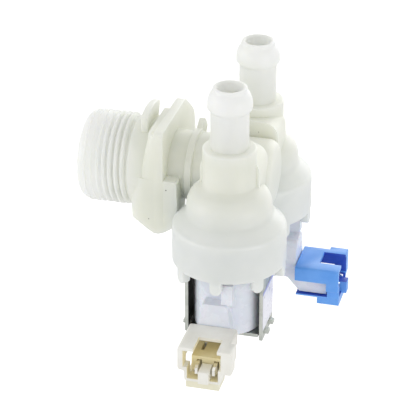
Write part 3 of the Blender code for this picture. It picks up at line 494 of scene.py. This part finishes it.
def turned(name, profile, sides=BODY_SIDES):
    """Turn (radius, height) points in millimetres about Z, closed by a disc at each end."""
    radius, level = profile[0]
    deselect()
    bpy.ops.mesh.primitive_circle_add(
        vertices=sides, radius=mm(radius), fill_type="NGON", location=(0.0, 0.0, mm(level))
    )
    piece = bpy.context.object
    piece.name = name
    bpy.ops.object.transform_apply(location=True, rotation=True, scale=True)
    edit_all()
    for wider, higher in profile[1:]:
        push_on(higher - level)
        share = wider / radius
        bpy.ops.transform.resize(value=(share, share, 1.0), center_override=(0.0, 0.0, mm(higher)))
        radius, level = wider, higher
    bpy.ops.object.mode_set(mode="OBJECT")
    return outward(piece)


def curve(centre, radii, start, end, steps=8):
    """Return points on an ellipse's arc between two angles in degrees."""
    points = []
    for step in range(steps + 1):
        angle = math.radians(start + (end - start) * step / steps)
        across = centre[0] + radii[0] * math.cos(angle)
        points.append((across, centre[1] + radii[1] * math.sin(angle)))
    return points


print("a turned side spans", 360 / BODY_SIDES, "degrees")

# %% [markdown]
# Flat pieces, such as the flange, are a face in the outline's shape, its corners rounded, then
# pushed out to its thickness. The bevel comes last, so that it runs round both rims. Each is
# made standing on the XY plane and then laid along the axis that it belongs to.

# %% Pushed shapes
ALONG = {
    "X": Matrix(((0, 0, 1, 0), (1, 0, 0, 0), (0, 1, 0, 0), (0, 0, 0, 1))),
    "Y": Matrix(((1, 0, 0, 0), (0, 0, -1, 0), (0, 1, 0, 0), (0, 0, 0, 1))),
    "Z": Matrix.Identity(4),
}


def outline_face(name, outline, corner=0.0):
    """Make one flat face from an outline in millimetres, its corners rounded."""
    deselect()
    bpy.ops.mesh.primitive_circle_add(vertices=len(outline), radius=mm(1.0), fill_type="NGON")
    piece = bpy.context.object
    piece.name = name
    for vert, (across, up) in zip(piece.data.vertices, outline):
        vert.co = (mm(across), mm(up), 0.0)
    if corner:
        edit_all()
        bpy.ops.mesh.bevel(offset=mm(corner), segments=5, affect="VERTICES")
        bpy.ops.object.mode_set(mode="OBJECT")
    return piece


def pushed(name, outline, start, end, along="Z", corner=0.0, edge=0.0):
    """Push an outline out along an axis from start to end, with softened rims."""
    piece = outline_face(name, outline, corner)
    edit_all()
    push_on(end - start)
    bpy.ops.object.mode_set(mode="OBJECT")
    outward(piece)
    if edge:
        soften(piece, edge, 3)
    shift = {"X": (start, 0.0, 0.0), "Y": (0.0, end, 0.0), "Z": (0.0, 0.0, start)}[along]
    return place_mesh(piece, Matrix.Translation([mm(value) for value in shift]) @ ALONG[along])


print("shapes can be laid along", ", ".join(ALONG))

# %% [markdown]
# The inlet runs from the hose thread through the flange to the manifold's closed round end,
# all on one axis, so one profile turns all of it. It is drawn standing up and then laid along X.
# The core under the thread widens towards the mouth, because the first grooves are shallow.
# Further on come the neck, which the flange will sit on, a narrow collar and the round end.

# %% Inlet and manifold
INLET_END = -23.3
MOUTH_ROUND = 2.8
THREAD_ROOT = 12.06
NECK = 13.0
MANIFOLD = 9.8
LAID = Matrix.Rotation(math.radians(90.0), 4, "Y")
profile = curve((10.9, INLET_END + MOUTH_ROUND), (2.0, MOUTH_ROUND), -90, -10, 8)
profile += [(13.06, -19.6), (13.02, -18.2), (12.6, -16.0), (THREAD_ROOT, -14.0)]
profile += [(THREAD_ROOT, -8.9), (12.85, -8.1), (NECK, -7.9), (NECK, 1.3)]
profile += [(MANIFOLD, 1.3), (MANIFOLD, 7.5), (MANIFOLD + 0.15, 7.65), (10.45, 7.7), (10.6, 7.85)]
profile += [(10.6, 9.55), (10.45, 9.7), (MANIFOLD + 0.15, 9.75), (MANIFOLD, 9.9)]
profile += curve((MANIFOLD - 2.8, 29.0), (2.8, 2.8), 0, 90, 8)
body = turned("moulded_body", profile)
place_mesh(body, LAID)
print("inlet and manifold", len(body.data.polygons), "faces")

# %% [markdown]
# The rest of the body grows on that core with Boolean operations. The flange is a plate with
# a raised ledge on the panel side. Both outlines are given as points across and up.


# %% Flange
def combine(base, tool, operation):
    """Unite a tool with the base or cut it away, apply that, and remove the tool."""
    hold(base)
    step = base.modifiers.new(operation.lower(), "BOOLEAN")
    step.operation = operation
    step.object = tool
    bpy.ops.object.modifier_apply(modifier=step.name)
    bpy.data.objects.remove(tool, do_unlink=True)


plate = [(-14.0, -14.2), (11.0, -14.2), (20.5, -7.7), (22.0, 0.0)]
plate += [(20.5, 7.7), (11.0, 15.4), (-14.0, 15.4)]
combine(body, pushed("plate", plate, 0.0, 2.7, "X", 1.6, 0.25), "UNION")
ledge = [(-12.0, 0.0), (6.0, 0.0), (6.0, 14.6), (-12.0, 14.6)]
combine(body, pushed("ledge", ledge, -2.0, 1.4, "X", 1.6, 0.3), "UNION")
print("with the flange", len(body.data.polygons), "faces")

# %% [markdown]
# The flange's near side swells into a long ramp that ends in the lower bayonet lug. Each of
# the two is one outline that is pushed upwards and made deeper or shallower at each step.
# Their near faces differ by a few hundredths of a millimetre, because a Boolean operation
# leaves slivers where two faces lie in one plane. A thin upper lug stands ahead of the
# flange, and a tooth on the rib behind it.


# %% Ramp and lugs
def swept_up(name, stations, corner, root, near):
    """Push a side outline up through (height, rise) stations, made as deep as each rise."""
    level, rise = stations[0]
    outline = [(1.3, near)] + curve((root, near + corner), (rise, corner), -90, -180, 8)
    outline += [(root - rise, -4.3), (1.3, -4.3)]
    piece = outline_face(name, outline)
    edit_all()
    for higher, next_rise in stations[1:]:
        push_on(higher - level)
        share = next_rise / rise
        bpy.ops.transform.resize(value=(share, 1.0, 1.0), center_override=(mm(root), 0.0, 0.0))
        level, rise = higher, next_rise
    bpy.ops.object.mode_set(mode="OBJECT")
    outward(piece)
    return place_mesh(piece, Matrix.Translation((0.0, 0.0, mm(stations[0][0]))))


rises = [(0.3, 4.6), (5.0, 3.7), (9.7, 2.75), (13.6, 1.75), (14.2, 1.3)]
combine(body, swept_up("ramp", rises, 2.0, 0.06, -13.9), "UNION")
rises = [(-15.9, 1.4), (-15.2, 3.6), (-12.8, 7.5), (-6.4, 7.8), (0.4, 7.6), (0.8, 7.2)]
combine(body, swept_up("lower lug", rises, 3.8, 0.12, -13.96), "UNION")
upper = curve((0.0, 0.0), (17.4, 17.4), 66, 112, 10) + curve((0.0, 0.0), (12.4, 12.4), 119, 66, 8)
combine(body, pushed("upper lug", upper, -5.7, -3.7, "X", 0.0, 0.25), "UNION")
peak = [(7.0, 5.9), (9.6, 8.5), (7.05, 11.85), (1.6, 9.05)]
combine(body, pushed("rib tooth", peak, 7.8, 9.6, "X", 0.5, 0.2), "UNION")
print("with ramp and lugs", len(body.data.polygons), "faces")

# %% [markdown]
# Each valve stands on the manifold by a rounded port block. Its chamber is one turned shape,
# whose profile is written here from the foot of the cap up to the nozzle's tip. Eight small
# teeth hang from the cap's skirt. One of each is modelled, and the others are its copies.

# %% Chambers, nozzles and teeth
VALVE_X = 22.5
VALVE_Y = 16.25
TEETH = 8
skirt = [(15.6, -19.0), (15.9, -18.9), (16.0, -18.6), (16.0, -8.9)]
slope = curve((14.9, -8.9), (1.1, 1.5), 10, 75, 5) + [(14.4, -6.6), (13.1, -5.35), (12.6, -5.0)]
dome = [(12.2, -4.5), (12.0, -3.9), (12.0, -2.6)] + curve((7.6, -2.6), (4.4, 6.0), 6, 74, 12)
collar = [(8.1, 3.7), (7.65, 4.1), (7.5, 4.6), (7.5, 14.7)]
collar += curve((6.9, 14.7), (0.6, 0.6), 15, 90, 4) + [(5.75, 15.3), (5.4, 15.45)]
nozzle = [(5.32, 15.8), (5.32, 26.3), (5.6, 26.5), (6.1, 27.1), (6.25, 27.4)]
nozzle += curve((2.9, 28.0), (3.38, 5.15), 4, 55, 8) + curve((4.3, 32.7), (0.55, 0.58), 40, 90, 4)
arch = [(14.1, -3.0), (30.9, -3.0)] + curve((26.4, 8.1), (4.5, 4.5), 0, 90, 8)
arch += curve((18.6, 8.1), (4.5, 4.5), 90, 180, 8)
tooth_outline = [(-1.65, -16.5), (1.65, -16.5)] + curve((0.0, -21.25), (1.65, 1.65), 0, -180, 12)


def on_valve(side):
    """Return the move onto the front (-1) or the rear (1) valve's axis."""
    return Matrix.Translation((mm(VALVE_X), mm(side * VALVE_Y), 0.0))


chamber = turned("chamber", skirt + slope + dome + collar + nozzle)
tooth = pushed("tooth", tooth_outline, 13.45, 15.9, "Y", 0.0, 0.3)
for side, start, end in ((-1, -VALVE_Y, -6.5), (1, 6.5, VALVE_Y)):
    combine(body, pushed("port block", arch, start, end, "Y"), "UNION")
    combine(body, place_mesh(copied(chamber), on_valve(side)), "UNION")
    teeth = []
    for index in range(TEETH):
        turn = Matrix.Rotation(math.tau * index / TEETH, 4, "Z")
        teeth.append(place_mesh(copied(tooth), on_valve(side) @ turn))
    hold(teeth[0])
    for other in teeth[1:]:
        other.select_set(True)
    bpy.ops.object.join()
    combine(body, teeth[0], "UNION")
for pattern in (chamber, tooth):
    bpy.data.objects.remove(pattern, do_unlink=True)
print("with both valves", len(body.data.polygons), "faces")

# %% [markdown]
# The hollows are turned too, and cut away: the stepped inlet bore, and under each nozzle its
# bore, the ring-shaped chamber round the seat and the socket that the coil's guide closes. A
# side port joins each of those chambers to the manifold.

# %% Bores and hollows
inlet_bore = [(10.0, INLET_END - 1.0), (9.9, INLET_END), (9.2, INLET_END + 0.7)]
inlet_bore += [(9.2, -8.0), (6.0, -8.0), (6.0, 29.2)]
combine(body, place_mesh(turned("inlet bore", inlet_bore), LAID), "DIFFERENCE")
hollow_profile = [(13.6, -20.0), (13.6, -8.6), (9.4, -8.6), (9.4, -1.4), (7.9, 0.6), (4.9, 0.6)]
hollow_profile += [(4.9, -8.6), (3.4, -8.6), (3.4, 32.4), (3.55, 32.9), (3.95, 33.3), (4.2, 34.0)]
hollow = turned("hollow", hollow_profile)
port = turned("side port", [(3.2, 0.0), (3.2, 10.35)], 32)
port_foot = Matrix.Translation((mm(VALVE_X), 0.0, mm(-2.0)))
for side in (-1, 1):
    combine(body, place_mesh(copied(hollow), on_valve(side)), "DIFFERENCE")
    across = port_foot @ Matrix.Rotation(math.radians(-90.0 * side), 4, "X")
    combine(body, place_mesh(copied(port), across), "DIFFERENCE")
for pattern in (hollow, port):
    bpy.data.objects.remove(pattern, do_unlink=True)
print("bored", len(body.data.polygons), "faces")

# %% [markdown]
# The hose thread is a G3/4 with 14 turns to the inch, a pitch of 1.814 mm. Its ridge is one
# small section, four points of (radius, height), that a Screw modifier carries round the axis
# and along it. The two ends are then closed with a face each.

# %% Thread ridge
PITCH = 1.814
TURNS = 7.2
CREST = 13.22
THREAD_START = INLET_END + 1.2
STEPS_IN_A_TURN = 48
section = [(THREAD_ROOT - 0.15, -0.9), (CREST, -0.22), (CREST, 0.22), (THREAD_ROOT - 0.15, 0.9)]
deselect()
bpy.ops.mesh.primitive_circle_add(vertices=len(section), radius=mm(1.0), fill_type="NGON")
ridge = bpy.context.object
ridge.name = "thread"
for vert, (radius, shift) in zip(ridge.data.vertices, section):
    vert.co = (mm(radius), 0.0, mm(THREAD_START + shift))
screw = ridge.modifiers.new("helix", "SCREW")
screw.axis = "Z"
screw.angle = math.tau * TURNS
screw.screw_offset = mm(PITCH * TURNS)
screw.steps = screw.render_steps = round(STEPS_IN_A_TURN * TURNS)
screw.use_merge_vertices = False
bpy.ops.object.modifier_apply(modifier=screw.name)
bpy.ops.object.mode_set(mode="EDIT")
bpy.ops.mesh.select_all(action="DESELECT")
bpy.ops.mesh.select_mode(type="EDGE")
bpy.ops.mesh.select_non_manifold()
bpy.ops.mesh.fill_holes(sides=len(section))
bpy.ops.object.mode_set(mode="OBJECT")
print("thread ridge", len(ridge.data.polygons), "faces")

# %% [markdown]
# A moulded thread doesn't start at full height. Each crest point is moved in towards the axis
# where the ridge begins, over about half a turn, and again where it runs out, over about a
# quarter. Near the mouth it also follows the rounding of the end, which is part of an ellipse.

# %% Thread ends
THREAD_LENGTH = PITCH * TURNS
RUN_IN = 1.2
RUN_OUT = 0.8
BURIED = 0.3
MOUTH_CREST = 11.3
SUNK_ROOT = THREAD_ROOT - 0.1
moved = 0
for vert in ridge.data.vertices:
    radius = math.hypot(vert.co.x, vert.co.y) * 1000
    along = vert.co.z * 1000
    since = (along - THREAD_START + BURIED) / RUN_IN
    until = (THREAD_START + THREAD_LENGTH - along + BURIED) / RUN_OUT
    mouth = min(1.0, max(0.0, (along - INLET_END) / MOUTH_ROUND))
    top = MOUTH_CREST + (CREST - MOUTH_CREST) * math.sqrt(1.0 - (1.0 - mouth) ** 2)
    if radius > THREAD_ROOT:
        full = max(0.0, min(1.0, since, until))
        wanted = min(top, SUNK_ROOT + (CREST - SUNK_ROOT) * full)
        vert.co.x *= wanted / radius
        vert.co.y *= wanted / radius
        moved += 1
print(moved, "crest points set")

# %% [markdown]
# The ridge is laid along the inlet and united with the body, which is then complete. It is
# shaded smooth, except across its sharp edges, and takes the place of the CAD body.

# %% Finish the body
outward(ridge)
place_mesh(ridge, LAID)
combine(body, ridge, "UNION")
hold(body)
bpy.ops.object.shade_smooth_by_angle(angle=math.radians(32.0))
body.data.materials.clear()
body.data.materials.append(nylon)
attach(body, "housing")
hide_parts("valve_body")
print("body", len(body.data.polygons), "faces")

# %% [markdown]
# Some faces of a piece get painted light or shade. The yokes' inner faces and undersides get a
# painted shade, nearly black, the sockets' inner faces a painted glow, and the nozzles'
# thin-walled bores a painted glow too. A face is picked by its place, or by asking whether it
# looks towards the middle of its hollow, and is then put in a material slot of its own.

# %% Painted light and shade by face
X_WAY, Y_WAY, UP = 0, 1, 2
NOZZLE_FOOT = 20.0
BORE_LIP = 4.25


def paint_faces(piece, look, chosen):
    """Give a second material to the faces for which chosen(centre, normal) holds."""
    piece.data.materials.append(look)
    slot = len(piece.data.materials) - 1
    count = 0
    for face in piece.data.polygons:
        if chosen(face.center * 1000, face.normal):
            face.material_index = slot
            count += 1
    print(piece.name, count, "faces in", look.name)


def looks_at(target, centre, normal, flat):
    """Tell whether a face looks towards a point in millimetres, leaving out one direction."""
    way = Vector(target) - centre
    way[flat] = 0.0
    return way.length > 0.5 and normal.dot(way.normalized()) > 0.45


def in_nozzle(centre, normal):
    """Tell whether a face lies in one of the nozzles' bores or on the lip round it."""
    across = math.hypot(centre.x - VALVE_X, abs(centre.y) - VALVE_Y)
    return centre.z > NOZZLE_FOOT and across < BORE_LIP


# Painted light: the nozzles' bores and the lips round them take the painted glow.
paint_faces(body, painted_glow_nylon, in_nozzle)
# Painted shade: the yokes' inner faces and undersides take the nearly black zinc.
for prefix, side in (("front", -1), ("rear", 1)):
    axis = (VALVE_X, side * VALVE_Y, 0.0)
    paint_faces(
        rounded[f"{prefix}_yoke"],
        painted_shade_zinc,
        lambda centre, normal: looks_at(axis, centre, normal, UP) or normal.z < -0.9,
    )

# %% [markdown]
# Behind each blade the terminal base has a narrow slot, where the blade's foot was pushed in.
# One thin block for each is cut out of the coil moulding. The front coil's slots reach out
# towards -Y and the rear coil's towards +X, as their terminals do.

# %% Slots behind the blades
BLADE_OFFSETS = (-2.7, 2.2)
SLOT_HALF = 0.45
SLOT_NEAR = 14.9
SLOT_FAR = 19.0
SLOT_FLOOR = -41.0
SLOT_TOP = -38.0


def cut_slot(prefix, low, high):
    """Cut a slot between two corners into one valve's coil moulding."""
    corners = [low, (high[0], low[1]), high, (low[0], high[1])]
    slot = pushed("slot", corners, SLOT_FLOOR, SLOT_TOP)
    combine(rounded[f"{prefix}_coil_case"], slot, "DIFFERENCE")


for blade in BLADE_OFFSETS:
    low = (VALVE_X + blade - SLOT_HALF, -VALVE_Y - SLOT_FAR)
    high = (VALVE_X + blade + SLOT_HALF, -VALVE_Y - SLOT_NEAR)
    cut_slot("front", low, high)
    low = (VALVE_X + SLOT_NEAR, VALVE_Y + blade - SLOT_HALF)
    high = (VALVE_X + SLOT_FAR, VALVE_Y + blade + SLOT_HALF)
    cut_slot("rear", low, high)
print("cut", 2 * len(BLADE_OFFSETS), "slots")

# %% [markdown]
# Each plunger stands on a coil spring of 0.7 mm wire. Its wire is a circle, carried round and up
# by a Screw modifier. When the coil pulls, the plunger presses the spring together.

# %% Plunger springs
WIRE_RADIUS = 0.35
WIRE_SIDES = 12
SPRING_TURNS = 5
SPRING_STEPS = 32


def wound_spring(name, low, high):
    """Wind a spring, its wire closed at both ends, that fills the box between two corners."""
    middle = [(least + most) / 2 for least, most in zip(low, high)]
    coil_radius = (high[0] - low[0]) / 2 - mm(WIRE_RADIUS)
    deselect()
    bpy.ops.mesh.primitive_circle_add(
        vertices=WIRE_SIDES,
        radius=mm(WIRE_RADIUS),
        location=(coil_radius, 0.0, 0.0),
        rotation=(math.radians(90.0), 0.0, 0.0),
    )
    wire = bpy.context.object
    wire.name = name
    bpy.ops.object.transform_apply(location=True, rotation=True, scale=True)
    wind = wire.modifiers.new("wind", "SCREW")
    wind.angle = math.tau * SPRING_TURNS
    wind.screw_offset = high[UP] - low[UP] - 2 * mm(WIRE_RADIUS)
    wind.steps = wind.render_steps = SPRING_STEPS * SPRING_TURNS
    bpy.ops.object.modifier_apply(modifier=wind.name)
    edit_all()
    bpy.ops.mesh.fill_holes(sides=WIRE_SIDES)
    bpy.ops.object.mode_set(mode="OBJECT")
    outward(wire)
    foot = low[UP] + mm(WIRE_RADIUS)
    place_mesh(wire, Matrix.Translation((middle[X_WAY], middle[Y_WAY], foot)))
    bpy.ops.object.shade_smooth_by_angle(angle=math.radians(SHARP))
    return wire


for prefix in ("front", "rear"):
    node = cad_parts[f"{prefix}_plunger_spring"]
    corners = [node.matrix_world @ vert.co for vert in node.data.vertices]
    low = [min(corner[way] for corner in corners) for way in (X_WAY, Y_WAY, UP)]
    high = [max(corner[way] for corner in corners) for way in (X_WAY, Y_WAY, UP)]
    spring = wound_spring(f"{prefix}_wound_spring", low, high)
    spring.data.materials.append(spring_steel)
    start, end = (0.0, 0.0, low[UP]), (0.0, 0.0, high[UP])
    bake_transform(spring)
    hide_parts(f"{prefix}_plunger_spring")
    print(spring.name, "stands", round((high[UP] - low[UP]) * 1000, 2), "mm tall")

# %% [markdown]
# The front socket opens towards -Y and the rear one towards +X. Looked at along that way, the
# middle of a hollow is one point, and each of its inner faces looks towards it and takes the
# painted shade. The tongue between the front blades stays cream, and the lip below it and the
# terminal base take paler painted amber.

# %% Painted shade inside the sockets
SOCKET_MIDDLE = -39.0
FRONT_SOCKET = (21.5, -36.0, SOCKET_MIDDLE)
REAR_SOCKET = (42.5, 15.25, SOCKET_MIDDLE)
LIP_TOP = -44.2
TONGUE_TOP = -40.0
TONGUE_SIDES = (20.7, 23.8)
TONGUE_FRONT = -39.2
BASE_FRONT = -31.4


def on_tongue(centre, normal):
    """Tell whether a face belongs to the tongue between the front socket's blades."""
    left, right = TONGUE_SIDES
    return centre.y < TONGUE_FRONT and left < centre.x < right and LIP_TOP < centre.z < TONGUE_TOP


sockets = [("front", FRONT_SOCKET, Y_WAY, amber), ("rear", REAR_SOCKET, X_WAY, painted_shade_blue)]
for prefix, middle, flat, look in sockets:
    shell = rounded[f"{prefix}_shroud"]
    paint_faces(shell, look, lambda centre, normal: looks_at(middle, centre, normal, flat))
cream_shell = rounded["front_shroud"]
paint_faces(cream_shell, painted_lip_amber, lambda centre, normal: centre.z < LIP_TOP)
paint_faces(cream_shell, cream, on_tongue)
# Painted light: the lilac-white coil moulding's terminal base is painted amber inside the cream
# socket.
front_case = rounded["front_coil_case"]
paint_faces(front_case, painted_base_amber, lambda centre, normal: centre.y < BASE_FRONT)

# %% [markdown]
# A sticker covers most of the front yoke's outer face on the right. On the real valve it
# holds printed words, which are left out here, under a lilac band. It is a rounded sheet
# 0.07 mm thick, and its colour changes sharply at the band.

# %% Sticker
STICKER_SIDES = (-22.2, -10.3)
STICKER_LEVELS = (-38.2, -26.0)
STICKER_FACES = (33.76, 33.83)
BAND_FOOT = -26.9
(left, right), (foot, top) = STICKER_SIDES, STICKER_LEVELS
sheet_outline = [(left, foot), (right, foot), (right, top), (left, top)]
sticker = pushed("sticker", sheet_outline, *STICKER_FACES, "X", 0.6)
film, tree, shader = new_material("white polyester film", IOR=1.57)
place = add_node(tree, "ShaderNodeTexCoord")
split = add_node(tree, "ShaderNodeSeparateXYZ", links={"Vector": place.outputs["Object"]})
settings = {"From Min": mm(BAND_FOOT - 0.05), "From Max": mm(BAND_FOOT + 0.05)}
edge = add_node(tree, "ShaderNodeMapRange", settings, {"Value": split.outputs["Z"]})
links = {0: edge.outputs["Result"], COLOUR_A: blotches(tree, 6.0, "#e6e6f2", "#efeff8")}
links[COLOUR_B] = blotches(tree, 2.0, "#a3a7dc", "#afb3e2")
printed = add_node(tree, "ShaderNodeMix", {"data_type": "RGBA"}, links)
tree.links.new(printed.outputs[COLOUR_OUT], shader.inputs["Base Color"])
uneven_gloss(tree, shader, 3.0, 0.25, 0.35)
grain(tree, shader, 1.5, 0.02)
sticker.data.materials.append(film)
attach(sticker, "housing")
print("sticker", len(sticker.data.polygons), "faces")

# %% [markdown]
# The room is a white studio with a plain pale floor well below the valve. The floor is lifted
# to plain white for the camera alone, so it keeps its shadow and its bounce of light, and it
# is clear from underneath, so that the valve can be looked at from below.

# %% Floor
FLOOR_LEVEL = -130.0
FLOOR_SIZE = 8000.0
FLOOR_LIFT = 0.32
deselect()
bpy.ops.mesh.primitive_grid_add(size=mm(FLOOR_SIZE), location=(0.0, 0.0, mm(FLOOR_LEVEL)))
floor = bpy.context.object
floor.name = "studio_floor"
paint, tree, shader = new_material("matt white floor", Roughness=0.9)
shader.inputs["Base Color"].default_value = linear("#f6f6f6")
geometry = add_node(tree, "ShaderNodeNewGeometry")
path = add_node(tree, "ShaderNodeLightPath")
settings = {"operation": "MULTIPLY", 1: FLOOR_LIFT}
lift = add_node(tree, "ShaderNodeMath", settings, {0: path.outputs["Is Camera Ray"]})
glow = add_node(tree, "ShaderNodeEmission", links={"Strength": lift.outputs[0]})
lifted = add_node(tree, "ShaderNodeAddShader", links={0: shader.outputs[0], 1: glow.outputs[0]})
clear = add_node(tree, "ShaderNodeBsdfTransparent")
links = {"Fac": geometry.outputs["Backfacing"], 1: lifted.outputs[0], 2: clear.outputs[0]}
one_sided = add_node(tree, "ShaderNodeMixShader", links=links)
tree.links.new(one_sided.outputs[0], tree.nodes["Material Output"].inputs["Surface"])
floor.data.materials.append(paint)
print("floor lies at", FLOOR_LEVEL, "mm")

# %% [markdown]
# Three large, soft lamps stand far off. The left and right ones model the round shapes from
# both sides, and the one behind draws a light rim round the rear valve.


# %% Lamps
def soft_lamp(name, place, aim, size, power):
    """Add a square area lamp, its place, aim and size in millimetres, its power in watts."""
    light = bpy.data.lights.new(name, "AREA")
    light.shape = "SQUARE"
    light.size = mm(size)
    light.energy = power
    lamp = bpy.data.objects.new(name, light)
    bpy.context.scene.collection.objects.link(lamp)
    lamp.location = [mm(value) for value in place]
    lamp.rotation_euler = (Vector(place) - Vector(aim)).to_track_quat("Z", "Y").to_euler()


MIDDLE = (20.0, 0.0, 0.0)
LOW_MIDDLE = (20.0, 0.0, -20.0)
soft_lamp("left", place=(-900.0, -400.0, 120.0), aim=MIDDLE, size=700.0, power=2.4)
soft_lamp("right", place=(800.0, -450.0, -40.0), aim=LOW_MIDDLE, size=500.0, power=1.6)
soft_lamp("back", place=(200.0, 1000.0, 300.0), aim=MIDDLE, size=900.0, power=3.8)

# %% [markdown]
# A pale world lights the valve from all round. The camera sees it as plain white, and so do
# reflections and clear materials, so that the metal mirrors a white room.

# %% World
ROOM_LIGHT = 0.77
world = bpy.data.worlds.new("studio")
bpy.context.scene.world = world
world.use_nodes = True
tree = world.node_tree
tree.nodes.clear()
path = add_node(tree, "ShaderNodeLightPath")
room = add_node(tree, "ShaderNodeBackground", {"Color": linear("#ffffff"), "Strength": ROOM_LIGHT})
white = add_node(tree, "ShaderNodeBackground", {"Color": linear("#ffffff"), "Strength": 1.0})
rays = [path.outputs[f"Is {kind} Ray"] for kind in ("Camera", "Glossy", "Transmission")]
seen = add_node(tree, "ShaderNodeMath", {"operation": "MAXIMUM"}, {0: rays[0], 1: rays[1]})
links = {0: seen.outputs[0], 1: rays[2]}
seen = add_node(tree, "ShaderNodeMath", {"operation": "MAXIMUM"}, links)
links = {"Fac": seen.outputs[0], 1: room.outputs[0], 2: white.outputs[0]}
mixed = add_node(tree, "ShaderNodeMixShader", links=links)
add_node(tree, "ShaderNodeOutputWorld", links={"Surface": mixed.outputs[0]})
bpy.context.scene.view_settings.view_transform = "Standard"
print("the room gives", ROOM_LIGHT, "of full white")
